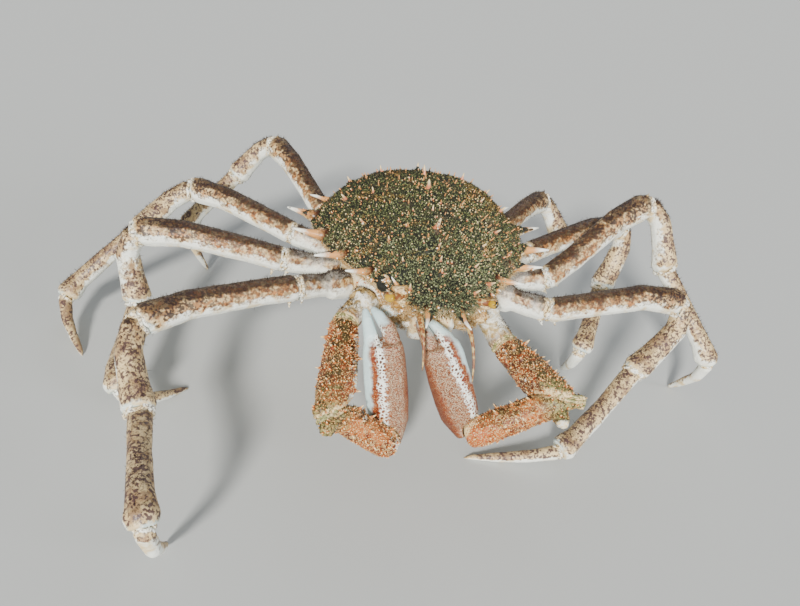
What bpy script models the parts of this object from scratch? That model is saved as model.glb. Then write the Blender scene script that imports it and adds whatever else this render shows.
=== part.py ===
"""European spider crab, life size, as a still model standing on its eight walking legs.

The crab faces -Y, its right side is -X and the floor is z = 0.
Sizes are in millimetres until the last step, which turns every mesh into metres.
"""
import math
import random

import bmesh
import bpy
import numpy as np
from mathutils import Matrix, Vector

# Body: the origin of its frame is the middle of the carapace, level with the side margins
BODY_HEIGHT = 94.0
BODY_PITCH = -3.4
BODY_ROLL = -2.6
GAP = 0.3
METRES = 0.001

# Carapace stations from rostrum to rear: place, half width, crown height, depth of the lower wall
CARAPACE = [
    (-80, 9, 3, 4), (-74, 14, 5.5, 6), (-68, 19, 8, 8), (-62, 25, 10, 11), (-56, 31, 12, 20),
    (-49, 35, 14, 28), (-46, 37, 15, 11), (-38, 42, 18, 11), (-29, 47, 21, 11), (-20, 52, 23, 11),
    (-10, 56, 26, 11), (0, 59, 28, 11), (10, 61.5, 30, 11), (20, 62.5, 31, 11), (29, 61, 31, 11),
    (38, 57, 29, 11), (46, 51, 26, 11), (53, 44, 22, 11), (59, 36, 17, 11), (64, 28, 12, 10),
    (68, 19, 8, 8), (71, 9, 4, 5),
]
DOME_POWER = 2.6
LOWER_INSET = 13.0
FACE_HALF = 27.0

# Swellings of the carapace: x, y, spread, rise. Those off the middle stand on both sides
REGIONS = [(0, -32, 15, 2.6), (0, 10, 13, 2.4), (33, 16, 20, 2.6), (27, -26, 10, 1.2), (0, 46, 10, 1.0)]
GROOVE_DEPTH = 1.8

HORN_ROOT = (5.5, -74.0, 0.5)
HORN_TIP = (9.0, -93.0, -2.5)
HORN_RADIUS = 4.6

# Marginal spines: place along the body, outward reach, rise, backward lean, root radius
MARGIN_SPINES = [(46, 11, 6, 6, 3.2), (22, 14, 5, 4, 3.8), (-4, 15, 4, -2, 3.9), (-27, 14, 3, -4, 3.6),
                 (-46, 10, 3, -4, 3.0)]
# Spines along the middle: place, length, root radius
MIDDLE_SPINES = [(-61, 5, 1.8), (-53, 5, 1.8), (-44, 5.5, 2.0), (-33, 8.5, 2.7), (-16, 5, 1.8),
                 (4, 7.5, 2.5), (22, 6.5, 2.2), (46, 5, 2.0)]
# Paired spines: x, y, length, root radius
PAIRED_SPINES = [(18, -52, 4.5, 1.8), (24, -36, 5, 2.0), (36, -16, 5, 2.0), (30, 4, 4.5, 1.8),
                 (44, 10, 5.5, 2.1), (24, 30, 4.5, 1.8), (40, 34, 5, 2.0), (14, -30, 4, 1.6)]
ORBIT_SPINES = [(18, -69, 6, 1.9), (27, -59, 8, 2.3)]
REAR_SPINE = (8, 66, 7, 2.4)
TUBERCLES = 120
TUBERCLE_SEED = 11
TUBERCLE_SPACE = 5.0

# Leg roots in the body frame: across, along, height
ROOTS = {"claw": (32, -34, -20), "1": (43, -18, -20), "2": (47, 0, -20), "3": (45, 18, -19), "4": (37, 34, -17)}
ROOT_SINK = 1.2

# Each joint's piece: length, heading from straight ahead towards its own side, lift. The last is the dactylus
LEG_POSES = {
    "r1": [(30, 62, 5), (83, 62, -4), (43, -11, -34), (65, -11, -3), (52, -169)],
    "r2": [(30, 88, 6), (79, 94, 2), (43, -6, -86), (62, -2, -14), (48, -135)],
    "r3": [(29, 108, 12), (74, 123, 1), (41, 62, -36), (58, 60, -42), (43, -25)],
    "r4": [(26, 135, 20), (64, 147, 17), (34, 104, -48), (50, 82, -53), (39, -112)],
    "l1": [(30, 68, 0), (84, 97, 4), (47, -51, -53), (67, -53, -31), (54, -91)],
    "l2": [(30, 92, 8), (82, 116, 30), (43, 67, -56), (65, 42, -44), (49, 178)],
    "l3": [(29, 108, 14), (74, 112, 9), (40, -20, -72), (54, -26, -25), (44, 168)],
    "l4": [(26, 125, 20), (63, 139, 4), (33, 103, -47), (48, 134, -39), (39, -171)],
}
LEG_SCALE = {"1": 1.0, "2": 1.0, "3": 0.96, "4": 0.93}
# A claw's base, merus and carpus, the step from the carpus to the palm, the palm and the fingers
CLAW_POSES = {
    "r": [(19.5, 38, -24), (55, 6, -18), (46, -108, -38), (9.6, 158, 56), (51.5, 104, 76), (19, 153, 30)],
    "l": [(24, 52, -42), (47.5, 25, -4), (51, -94, -36.5), (8.4, -149, 46), (50, -95.5, 65), (16.5, -140, 24)],
}

# Radii of a front leg's pieces and of a claw's
COXA_RADIUS = 8.6
LEG_RADII = {"merus": 7.6, "carpus": 6.9, "propodus": 5.9, "dactylus": 4.1}
CLAW_RADII = {"merus": 9.4, "carpus": 7.9, "palm": 11.0, "finger": 4.4}
FOOT_RADIUS = 1.1
LEG_SIDES = 10
CLAW_SIDES = 12
# Part of a claw piece over which its end turns into the joint's plane
MITRE_SHARE = 0.42
# Claw spines: places along a piece, places round it, height and root radius
CLAW_SPINE_PARTS = (0.24, 0.42, 0.6, 0.78)
CLAW_SPINE_TURNS = (-0.9, 0.0, 0.9)
CLAW_SPINE = (3.2, 2.1)
# Lobes at a claw's elbow: how far each points along the merus and along the carpus
ELBOW_LOBES = {"r": [(1.0, -0.45), (0.3, -1.0)], "l": [(1.0, 0.3), (0.45, -1.0)]}
LOBE_STEP = 2.0
LOBE_FORM = [(-2.0, 3.6), (8.5, 4.6), (13.0, 3.9), (15.5, 1.8)]

# Outlines along each piece: part of its length, part of its radius
BASE_FORM = [(0, 1.0), (0.1, 1.0), (0.36, 1.0), (0.45, 0.76), (0.56, 0.78), (0.9, 0.84), (1, 0.72)]
MERUS_FORM = [(0, 0.82), (0.06, 0.96), (0.3, 0.94), (0.68, 1.0), (0.92, 1.12), (1, 0.92)]
CARPUS_FORM = [(0, 0.86), (0.1, 0.97), (0.34, 0.96), (0.66, 1.06), (0.9, 1.22), (1, 1.0)]
PROPODUS_FORM = [(0, 0.95), (0.08, 1.0), (0.4, 0.94), (0.76, 1.04), (0.92, 1.32), (1, 1.08)]
DACTYLUS_FORM = [(0, 0.95), (0.08, 1.05), (0.35, 0.9), (0.65, 0.66), (0.88, 0.42)]
CLAW_MERUS_FORM = [(0, 0.7), (0.1, 0.86), (0.4, 0.97), (0.75, 1.06), (0.92, 0.94), (1, 0.68)]
CLAW_CARPUS_FORM = [(0, 0.76), (0.1, 0.96), (0.3, 0.98), (0.6, 1.0), (0.88, 1.04), (0.97, 0.86), (1, 0.6)]
PALM_FORM = [(0, 0.8), (0.1, 0.94), (0.3, 1.0), (0.6, 1.02), (0.86, 0.98), (0.97, 0.9), (1, 0.8)]
PALM_THICKNESS = 0.68
NECK_RADIUS = 4.6
FINGER_FORM = [(0, 1.0), (0.3, 0.92), (0.65, 0.68), (0.9, 0.4), (1, 0.2)]

EYE_ROOT = (16.0, -66.0, -1.0)
EYE_TIP = (28.0, -71.5, 1.5)
EYE_FORM = [(0, 2.0), (0.35, 2.1), (0.6, 1.9), (0.72, 2.5), (0.88, 2.5), (1, 1.1)]
# The antennae hang down in front of the mouth, the right one nearer the middle
ANTENNA_POINTS = {
    "r": [(11, -73, -5), (10.5, -81, -7), (9.5, -87, -12), (9, -91, -19), (9, -93, -26)],
    "l": [(11, -73, -5), (13, -81, -7), (14.5, -88, -12), (15.5, -93, -20), (15.5, -96, -30)],
}
ANTENNA_RADII = [2.3, 1.8, 0.9, 0.65, 0.4]

MOUTH_TOP = (-63.5, -12.5)
MOUTH_FOOT = (-50.0, -32.0)
MOUTH_HALF = 11.0
MOUTH_THICK = 6.0
STERNUM_TOP = -11.4
STERNUM_FOOT = -33.0
ABDOMEN_PATH = [(66, -9), (63, -20), (56, -29), (46, -34.6), (20, -35.4), (-4, -35.8), (-24, -35.8)]
ABDOMEN_HALF = [13, 13, 12.5, 12, 10.5, 8.5, 3.5]
ABDOMEN_THICK = 3.6

# Colour, roughness and metallic value of each finish
FINISHES = {
    "shell": ((0.19, 0.17, 0.07, 1), 0.75, 0.0),
    "under_shell": ((0.72, 0.62, 0.46, 1), 0.55, 0.0),
    "leg": ((0.62, 0.40, 0.24, 1), 0.5, 0.0),
    "claw": ((0.46, 0.17, 0.08, 1), 0.5, 0.0),
    "eye": ((0.45, 0.22, 0.04, 1), 0.08, 0.0),
    "feeler": ((0.55, 0.33, 0.16, 1), 0.5, 0.0),
}


def body_matrix():
    tilt = Matrix.Rotation(math.radians(BODY_PITCH), 4, "X") @ Matrix.Rotation(math.radians(BODY_ROLL), 4, "Y")
    return Matrix.Translation((0, 0, BODY_HEIGHT)) @ tilt


def clear_scene():
    for item in list(bpy.data.objects):
        bpy.data.objects.remove(item)


def material(finish):
    made = bpy.data.materials.get(finish)
    if made:
        return made
    colour, roughness, metallic = FINISHES[finish]
    made = bpy.data.materials.new(finish)
    made.use_nodes = True
    shader = made.node_tree.nodes["Principled BSDF"]
    shader.inputs["Base Color"].default_value = colour
    shader.inputs["Roughness"].default_value = roughness
    shader.inputs["Metallic"].default_value = metallic
    made.diffuse_color = colour
    return made


def mesh_object(name, points, faces):
    mesh = bpy.data.meshes.new(name)
    mesh.from_pydata([tuple(p) for p in points], [], faces)
    made = bpy.data.objects.new(name, mesh)
    bpy.context.scene.collection.objects.link(made)
    turn_outward(made)
    return made


def turn_outward(piece):
    work = bmesh.new()
    work.from_mesh(piece.data)
    bmesh.ops.triangulate(work, faces=work.faces)
    bmesh.ops.recalc_face_normals(work, faces=work.faces)
    if work.calc_volume(signed=True) < 0:
        bmesh.ops.reverse_faces(work, faces=work.faces)
    work.to_mesh(piece.data)
    work.free()


def loft(name, rings):
    """Joins rings of equally many points, in order, and closes both ends."""
    count = len(rings[0])
    points = [p for ring in rings for p in ring]
    faces = []
    for level in range(len(rings) - 1):
        for i in range(count):
            j = (i + 1) % count
            low, high = level * count, (level + 1) * count
            faces.append((low + i, low + j, high + j, high + i))
    faces.append(tuple(range(count)))
    faces.append(tuple((len(rings) - 1) * count + i for i in reversed(range(count))))
    return mesh_object(name, points, faces)


def moved(piece, matrix):
    piece.data.transform(matrix)
    return piece


def swollen(piece, amount):
    """A copy with every face moved out by the amount, to cut a seat that clears the piece."""
    work = bmesh.new()
    work.from_mesh(piece.data)
    work.normal_update()
    shifts = [v.normal * amount * min(v.calc_shell_factor(), 2.5) for v in work.verts]
    for vert, shift in zip(work.verts, shifts):
        vert.co += shift
    mesh = bpy.data.meshes.new(piece.name + "_seat")
    work.to_mesh(mesh)
    work.free()
    made = bpy.data.objects.new(mesh.name, mesh)
    made.hide_render = True
    made.display_type = "WIRE"
    bpy.context.scene.collection.objects.link(made)
    return made


def keep_largest(piece):
    work = bmesh.new()
    work.from_mesh(piece.data)
    bmesh.ops.remove_doubles(work, verts=work.verts, dist=0.002)
    bmesh.ops.dissolve_degenerate(work, edges=work.edges, dist=0.002)
    bmesh.ops.triangulate(work, faces=work.faces)
    work.verts.ensure_lookup_table()
    seen, groups = set(), []
    for start in work.verts:
        if start in seen:
            continue
        stack, group = [start], []
        seen.add(start)
        while stack:
            vert = stack.pop()
            group.append(vert)
            for edge in vert.link_edges:
                other = edge.other_vert(vert)
                if other not in seen:
                    seen.add(other)
                    stack.append(other)
        groups.append(group)
    groups.sort(key=len, reverse=True)
    for group in groups[1:]:
        bmesh.ops.delete(work, geom=group, context="VERTS")
    work.to_mesh(piece.data)
    work.free()


def combine(piece, others, operation, solver="EXACT"):
    """One Boolean of the piece with all the others, which are then removed."""
    if not others:
        return piece
    group = bpy.data.collections.new(piece.name + "_pieces")
    for other in others:
        group.objects.link(other)
    step = piece.modifiers.new("Combine", "BOOLEAN")
    step.operation = operation
    step.operand_type = "COLLECTION"
    step.collection = group
    step.solver = solver
    evaluated = piece.evaluated_get(bpy.context.evaluated_depsgraph_get())
    mesh = bpy.data.meshes.new_from_object(evaluated)
    piece.modifiers.clear()
    piece.data = mesh
    for other in others:
        bpy.data.objects.remove(other)
    bpy.data.collections.remove(group)
    keep_largest(piece)
    return piece


def finish(piece, kind):
    piece.data.materials.clear()
    piece.data.materials.append(material(kind))
    piece.data.shade_smooth()
    piece.data.set_sharp_from_angle(angle=math.radians(50))
    return piece


def cone(tip, root, radius, sides=5):
    """A spine from its sunk root to its tip."""
    axis = (tip - root).normalized()
    side = axis.orthogonal().normalized()
    other = axis.cross(side)
    turns = [2 * math.pi * i / sides for i in range(sides)]
    points = [root + radius * (math.cos(a) * side + math.sin(a) * other) for a in turns] + [tip]
    faces = [(i, (i + 1) % sides, sides) for i in range(sides)]
    faces.append(tuple(reversed(range(sides))))
    return mesh_object("spine", points, faces)


def bow(start, end, lead, trail, part, reach):
    """A point and the direction on the curve of one leg piece, which leaves and arrives as told."""
    t = part
    a, b = lead * reach[0], trail * reach[1]
    place = ((2 * t**3 - 3 * t**2 + 1) * start + (t**3 - 2 * t**2 + t) * a
             + (-2 * t**3 + 3 * t**2) * end + (t**3 - t**2) * b)
    slope = ((6 * t**2 - 6 * t) * start + (3 * t**2 - 4 * t + 1) * a
             + (-6 * t**2 + 6 * t) * end + (3 * t**2 - 2 * t) * b)
    return place, slope.normalized()


def reach_for(length, chord, direction, radius):
    """How far a curve runs on along its end direction, so that it never bends tighter than its radius."""
    turn = math.sqrt(max(0.0, 1 - chord.dot(direction) ** 2))
    if chord.dot(direction) < 0:
        turn = 1.0
    return min(max(0.4 * length, math.sqrt(6 * length * turn * 1.5 * radius)), 1.3 * length)


def tube(name, start, end, lead, trail, form, radius, sides, thin=1.0, across=None, floor=False):
    """A leg piece along a bowed line, its radius from the form. A thin one is flatter one way."""
    chord = (end - start).normalized()
    length = (end - start).length
    reach = (reach_for(length, chord, lead, radius), reach_for(length, chord, trail, radius))
    side = across if across else lead.cross(Vector((0, 0, 1)))
    if side.length < 0.2:
        side = lead.cross(Vector((1, 0, 0)))
    rings = []
    for part, share in form:
        place, ahead = bow(start, end, lead, trail, part, reach)
        side = (side - ahead * side.dot(ahead)).normalized()
        up = side.cross(ahead)
        size = radius * share
        ring = []
        for i in range(sides):
            angle = 2 * math.pi * (i + 0.5) / sides
            ring.append(place + size * math.cos(angle) * side + size * thin * math.sin(angle) * up)
        rings.append(ring)
    if floor:
        rings.append(foot_ring(end, side, sides))
        rings = [[Vector((p.x, p.y, max(p.z, 0.0))) for p in ring] for ring in rings]
    return loft(name, rings), side


def foot_ring(centre, side, sides):
    flat = Vector((side.x, side.y, 0)).normalized()
    other = flat.cross(Vector((0, 0, -1)))
    turns = [2 * math.pi * (i + 0.5) / sides for i in range(sides)]
    ring = [centre + FOOT_RADIUS * (math.cos(a) * flat + math.sin(a) * other) for a in turns]
    return [Vector((p.x, p.y, 0)) for p in ring]


def direction(side, heading, lift):
    h, l = math.radians(heading), math.radians(lift)
    return Vector((side * math.sin(h) * math.cos(l), -math.cos(h) * math.cos(l), math.sin(l)))


def joints_of(side, root, pose, lands):
    """Joint places from the root outwards. A walking leg's last piece comes down to the floor."""
    places = [root]
    for step in pose[:-1] if lands else pose:
        length, heading, lift = step
        places.append(places[-1] + length * direction(side, heading, lift))
    if lands:
        length, heading = pose[-1]
        knuckle = places[-1]
        flat = math.sqrt(max(length**2 - knuckle.z**2, (0.2 * length) ** 2))
        tip = knuckle + flat * direction(side, heading, 0)
        places.append(Vector((tip.x, tip.y, 0)))
    return places


def leads_of(places, share=0.6):
    """Directions in which the curves pass each joint, between those of its two pieces."""
    ways = [(b - a).normalized() for a, b in zip(places[:-1], places[1:])]
    leads = [ways[0]]
    for before, after in zip(ways[:-1], ways[1:]):
        leads.append((share * before + (1 - share) * after).normalized())
    leads.append(ways[-1])
    return leads


def shell_value(y, column):
    ys = [row[0] for row in CARAPACE]
    values = [row[column] for row in CARAPACE]
    return float(np.interp(y, ys, values))


def relief(x, y):
    rise = 0.0
    for cx, cy, spread, high in REGIONS:
        for centre in ({cx, -cx}):
            rise += high * math.exp(-((x - centre) ** 2 + (y - cy) ** 2) / spread**2)
    groove = -12 - 0.022 * x * x
    rise -= GROOVE_DEPTH * math.exp(-((y - groove) / 4.5) ** 2)
    return rise


def shell_height(x, y):
    wide = shell_value(y, 1)
    share = min(abs(x) / wide, 1.0)
    fade = 1 - share**DOME_POWER
    return shell_value(y, 2) * fade + relief(x, y) * fade * min(1.0, shell_value(y, 2) / 15)


def shell_normal(x, y):
    step = 1.5
    slope_x = (shell_height(x + step, y) - shell_height(x - step, y)) / (2 * step)
    slope_y = (shell_height(x, y + step) - shell_height(x, y - step)) / (2 * step)
    return Vector((-slope_x, -slope_y, 1)).normalized()


def shell_ring(y, wide, deep):
    """One section across the body: the dome, the margin, and the wall under it."""
    ring = []
    arches = 18
    for i in range(arches + 1):
        x = -wide * math.cos(math.pi * i / arches)
        ring.append(Vector((x, y, shell_height(x, y))))
    inner = max(min(wide - 3, FACE_HALF if y < -47 else wide - LOWER_INSET), wide * 0.5)
    wall = [(wide * 0.97, -3.0), (inner + 0.25 * (wide - inner), -min(deep, 9) * 0.8), (inner, -min(deep, 11)),
            (inner * 0.86, -deep), (inner * 0.4, -deep)]
    ring += [Vector((x, y, z)) for x, z in wall]
    ring += [Vector((-x, y, z)) for x, z in reversed(wall)]
    return ring


def make_carapace(seats):
    rings = [shell_ring(y, wide, deep) for y, wide, high, deep in CARAPACE]
    shell = loft("carapace", rings)
    frame = body_matrix()
    combine(shell, carapace_spines(), "UNION")
    moved(shell, frame)
    combine(shell, [swollen(seat, GAP) for seat in seats], "DIFFERENCE")
    return finish(shell, "shell")


def carapace_spines():
    spines = []
    for side in (-1, 1):
        x, y, z = HORN_ROOT
        root = Vector((side * x, y + 6, z))
        tip = Vector((side * HORN_TIP[0], HORN_TIP[1], HORN_TIP[2]))
        spines.append(cone(tip, root, HORN_RADIUS, 7))
        for along, out, rise, lean, radius in MARGIN_SPINES:
            wide = shell_value(along, 1)
            root = Vector((side * (wide - 7), along - 0.3 * lean, 1.5))
            tip = Vector((side * (wide + out), along + lean, rise))
            spines.append(cone(tip, root, radius * 1.25, 6))
        for across, along, length, radius in PAIRED_SPINES:
            spines.append(dome_spine(side * across, along, length, radius))
        for across, along, length, radius in ORBIT_SPINES:
            root = Vector((side * (across - 3), along + 3, shell_height(side * (across - 3), along + 3) - 3))
            tip = root + Vector((side * 0.45 * length, -0.9 * length, 5 + 0.2 * length))
            spines.append(cone(tip, root, radius * 1.3, 5))
        across, along, length, radius = REAR_SPINE
        spines.append(dome_spine(side * across, along, length, radius, Vector((0, 0.9, 0.3))))
    for along, length, radius in MIDDLE_SPINES:
        spines.append(dome_spine(0.0, along, length, radius))
    return spines + tubercles(spines)


def dome_spine(x, y, length, radius, lean=Vector((0, -0.15, 0))):
    out = (shell_normal(x, y) + lean).normalized()
    ground = Vector((x, y, shell_height(x, y)))
    return cone(ground + out * length, ground - out * 2.2, radius * 1.35, 5)


def tubercles(taken):
    """Small cones between the larger spines, kept clear of one another."""
    draw = random.Random(TUBERCLE_SEED)
    spots = [Vector(piece.data.vertices[len(piece.data.vertices) - 1].co) for piece in taken]
    made = []
    tries = 0
    while len(made) < TUBERCLES and tries < 3000:
        tries += 1
        y = draw.uniform(-62, 60)
        wide = shell_value(y, 1)
        x = draw.uniform(-0.86, 0.86) * wide
        spot = Vector((x, y, shell_height(x, y)))
        length = draw.uniform(2.4, 3.8)
        if min((spot - other).length for other in spots) < TUBERCLE_SPACE:
            continue
        spots.append(spot)
        made.append(dome_spine(x, y, length, draw.uniform(1.3, 1.8)))
    return made


def make_sternum(seats):
    points = []
    for place in ROOTS.values():
        for side in (-1, 1):
            for z, inset in ((STERNUM_TOP, 3.0), (-16, 0.5), (-25, 0.5), (STERNUM_FOOT, 9.0)):
                flat = Vector((place[0], place[1], 0))
                flat -= flat.normalized() * inset
                points.append(Vector((side * flat.x, flat.y, z)))
    for side in (-1, 1):
        points.append(Vector((side * 16, -44, -24)))
        points.append(Vector((side * 12, -44, STERNUM_FOOT)))
        points.append(Vector((side * 12, 58, STERNUM_TOP)))
        points.append(Vector((side * 11, 50, -28)))
    work = bmesh.new()
    for p in points:
        work.verts.new(p)
    made = bmesh.ops.convex_hull(work, input=work.verts)
    loose = [v for v in made["geom_interior"] + made["geom_unused"] if isinstance(v, bmesh.types.BMVert)]
    bmesh.ops.delete(work, geom=list(set(loose)), context="VERTS")
    mesh = bpy.data.meshes.new("sternum")
    work.to_mesh(mesh)
    work.free()
    plate = bpy.data.objects.new("sternum", mesh)
    bpy.context.scene.collection.objects.link(plate)
    turn_outward(plate)
    moved(plate, body_matrix())
    combine(plate, [swollen(seat, GAP) for seat in seats], "DIFFERENCE")
    return finish(plate, "under_shell")


def make_abdomen():
    rings = []
    for i, ((y, z), half) in enumerate(zip(ABDOMEN_PATH, ABDOMEN_HALF)):
        before = ABDOMEN_PATH[max(i - 1, 0)]
        after = ABDOMEN_PATH[min(i + 1, len(ABDOMEN_PATH) - 1)]
        way = Vector((0, after[0] - before[0], after[1] - before[1])).normalized()
        out = Vector((0, way.z, -way.y))
        if out.z > 0:
            out = -out
        centre = Vector((0, y, z))
        section = [(-1, -0.5), (-0.5, -0.5), (0, -0.5), (0.5, -0.5), (1, -0.5), (0.85, 0.25), (0.35, 0.5),
                   (0, 0.62), (-0.35, 0.5), (-0.85, 0.25)]
        ring = [centre + Vector((half * a, 0, 0)) + out * ABDOMEN_THICK * b for a, b in section]
        rings.append(ring)
    flap = moved(loft("abdomen", rings), body_matrix())
    return finish(flap, "under_shell")


def make_maxilliped(name, side):
    top, foot = Vector((0, *MOUTH_TOP)), Vector((0, *MOUTH_FOOT))
    down = (foot - top).normalized()
    out = Vector((0, down.z, -down.y)).normalized()
    length = (foot - top).length
    outline = [(0.2, 0.0), (0.75, 0.02), (1.0, 0.25), (0.93, 0.36), (1.0, 0.5), (0.95, 0.95), (0.3, 1.0), (0.03, 0.9),
               (0.03, 0.1)]
    rings = []
    for height, shrink in ((-2.0, 1.0), (MOUTH_THICK * 0.3, 1.0), (MOUTH_THICK * 0.6, 0.72)):
        ring = []
        for a, b in outline:
            across = side * (0.35 + MOUTH_HALF * (0.5 + (a - 0.5) * shrink))
            ring.append(top + down * length * (0.5 + (b - 0.5) * shrink) + out * height + Vector((across, 0, 0)))
        rings.append(ring)
    plate = moved(loft(name, rings), body_matrix())
    return finish(plate, "under_shell")


def make_eye(name, side):
    start = Vector((side * EYE_ROOT[0], EYE_ROOT[1], EYE_ROOT[2]))
    end = Vector((side * EYE_TIP[0], EYE_TIP[1], EYE_TIP[2]))
    way = (end - start).normalized()
    stalk, _ = tube(name, start, end, way, way, EYE_FORM, 1.0, 8)
    return finish(moved(stalk, body_matrix()), "eye")


def make_antenna(name, side):
    points = [Vector((side * x, y, z)) for x, y, z in ANTENNA_POINTS[name[-1]]]
    rings = []
    for i, (point, radius) in enumerate(zip(points, ANTENNA_RADII)):
        way = (points[min(i + 1, len(points) - 1)] - points[max(i - 1, 0)]).normalized()
        across = way.cross(Vector((0, 0, 1))).normalized()
        up = across.cross(way)
        turns = [2 * math.pi * k / 6 for k in range(6)]
        rings.append([point + radius * (math.cos(a) * across + math.sin(a) * up) for a in turns])
    return finish(moved(loft(name, rings), body_matrix()), "feeler")


def make_leg(name, scale, places):
    leads = leads_of(places)
    half = GAP / 2
    forms = [("base", BASE_FORM, COXA_RADIUS), ("merus", MERUS_FORM, LEG_RADII["merus"]),
             ("carpus", CARPUS_FORM, LEG_RADII["carpus"]), ("propodus", PROPODUS_FORM, LEG_RADII["propodus"]),
             ("dactylus", DACTYLUS_FORM, LEG_RADII["dactylus"])]
    pieces = {}
    for i, (part, form, radius) in enumerate(forms):
        start = places[i] + leads[i] * (half if i else -ROOT_SINK)
        last = i == len(forms) - 1
        end = places[i + 1] - leads[i + 1] * (0 if last else half)
        thin = 1.08 if part == "base" else 1.0
        size = radius * scale * (0.93 if part == "base" else 1.0)
        made, side = tube(f"leg_{name}_{part}", start, end, leads[i], leads[i + 1], form, size, LEG_SIDES,
                          thin, floor=last)
        if part == "merus":
            add_knee_spine(made, places[i + 1], leads[i + 1], radius * scale)
        pieces[part] = finish(made, "leg")
    return pieces


def add_knee_spine(piece, knee, ahead, radius):
    up = Vector((0, 0, 1))
    up = (up - ahead * up.dot(ahead)).normalized()
    ground = knee - ahead * 4.0 + up * radius
    tip = ground + up * 3.0 + ahead * 2.8
    combine(piece, [cone(tip, ground - up * 2.6 - ahead, 2.0, 5)], "UNION")


def mitred_ring(centre, chord, offsets, part, lead, trail):
    """Slides the points of a section along the piece, so that its end sections lie in the joints' planes."""
    near, far = max(0.0, 1 - part / MITRE_SHARE), max(0.0, 1 - (1 - part) / MITRE_SHARE)
    ring = []
    for offset in offsets:
        slide = near * offset.dot(lead) / chord.dot(lead) + far * offset.dot(trail) / chord.dot(trail)
        ring.append(centre + offset - slide * chord)
    return ring


def strut_rings(start, end, lead, trail, form, radius, side, thin=1.0):
    """Sections of a straight claw piece, whose radius comes from the form."""
    chord = (end - start).normalized()
    side = (side - chord * side.dot(chord)).normalized()
    up = side.cross(chord)
    turns = [2 * math.pi * (i + 0.5) / CLAW_SIDES for i in range(CLAW_SIDES)]
    unit = [math.cos(a) * side + thin * math.sin(a) * up for a in turns]
    rings = []
    for part, share in form:
        offsets = [radius * share * way for way in unit]
        rings.append(mitred_ring(start.lerp(end, part), chord, offsets, part, lead, trail))
    return rings, side


def make_claw(name, side, places):
    leads = leads_of(places, 0.5)
    half = GAP / 2
    made = {}
    base, _ = tube(f"claw_{name}_base", places[0] - leads[0] * ROOT_SINK, places[1] - leads[1] * half, leads[0],
                   leads[1], BASE_FORM, COXA_RADIUS, CLAW_SIDES)
    made["base"] = finish(base, "claw")
    made["merus"] = claw_piece(f"claw_{name}_merus", places[1:3], leads[1:3], CLAW_MERUS_FORM, CLAW_RADII["merus"])
    ends = [leads[2], (places[3] - places[2]).normalized()]
    carpus = claw_piece(f"claw_{name}_carpus", places[2:4], ends, CLAW_CARPUS_FORM, CLAW_RADII["carpus"])
    made["carpus"] = finish(add_elbow_lobes(carpus, ELBOW_LOBES[name], places, made["merus"]), "claw")
    make_hand(made, name, side, places)
    return made


def claw_piece(name, places, ways, form, radius):
    half = GAP / 2
    start, end = places[0] + ways[0] * half, places[1] - ways[1] * half
    chord = (end - start).normalized()
    outer = Vector((0, -0.4, 1))
    outer = (outer - chord * outer.dot(chord)).normalized()
    across = outer.cross(chord)
    rings, _ = strut_rings(start, end, ways[0], ways[1], form, radius, across)
    piece = loft(name, rings)
    cones = []
    for k, part in enumerate(CLAW_SPINE_PARTS):
        shift = 0.35 if k % 2 else -0.35
        for turn in CLAW_SPINE_TURNS:
            out = math.cos(turn + shift) * outer + math.sin(turn + shift) * across
            cones.append(claw_spine(start.lerp(end, part) + out * radius * 0.98, out, chord))
    combine(piece, cones, "UNION")
    return finish(piece, "claw")


def claw_spine(ground, out, ahead):
    length, root = CLAW_SPINE
    tilt = (out + 0.25 * ahead).normalized()
    return cone(ground + tilt * length, ground - tilt * 2.4, root, 5)


def add_elbow_lobes(carpus, lobes, places, merus):
    """Blunt lobes on the outside of the elbow, which leave the merus free."""
    elbow = places[2]
    before, after = (elbow - places[1]).normalized(), (places[3] - elbow).normalized()
    made = []
    for share, other in lobes:
        way = (share * before + other * after).normalized()
        across = way.orthogonal().normalized()
        up = across.cross(way)
        turns = [2 * math.pi * i / 7 for i in range(7)]
        centre = elbow + after * LOBE_STEP
        rings = []
        for out, radius in LOBE_FORM:
            rings.append([centre + out * way + radius * (math.cos(a) * across + math.sin(a) * up) for a in turns])
        made.append(loft("lobe", rings))
    combine(carpus, made, "UNION")
    return combine(carpus, [swollen(merus, GAP)], "DIFFERENCE")


def make_hand(made, name, side, places):
    """The palm with its fixed finger, seated on the carpus, and the movable finger beside it."""
    half = GAP / 2
    wrist, root, knuckle, tip = places[3:]
    chord, neck, way = (knuckle - root).normalized(), (root - wrist).normalized(), (tip - knuckle).normalized()
    end = knuckle - chord * half
    rings, wide = strut_rings(root, end, chord, chord, PALM_FORM, CLAW_RADII["palm"], Vector((side, 0, 0)),
                              PALM_THICKNESS)
    across = (wide - neck * wide.dot(neck)).normalized()
    turns = [2 * math.pi * (i + 0.5) / CLAW_SIDES for i in range(CLAW_SIDES)]
    collar = [wrist + NECK_RADIUS * (math.cos(a) * across + math.sin(a) * across.cross(neck)) for a in turns]
    palm = loft(f"claw_{name}_palm", [collar] + rings)
    size = CLAW_RADII["finger"]
    fixed, _ = tube("fixed", knuckle - chord * 4.0 + wide * size * 1.1, tip + wide * 1.6, chord,
                    (way - 0.25 * wide).normalized(), FINGER_FORM, size, 8)
    free, _ = tube(f"claw_{name}_finger", knuckle + chord * half - wide * size * 1.1, tip - wide * 1.6, chord,
                   (way + 0.25 * wide).normalized(), FINGER_FORM, size, 8)
    combine(palm, [fixed], "UNION")
    combine(palm, [swollen(made["carpus"], GAP), swollen(free, GAP)], "DIFFERENCE")
    made["palm"] = finish(palm, "claw")
    made["finger"] = finish(free, "claw")


def root_place(side, key):
    x, y, z = ROOTS[key]
    return body_matrix() @ Vector((side * x, y, z))


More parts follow.
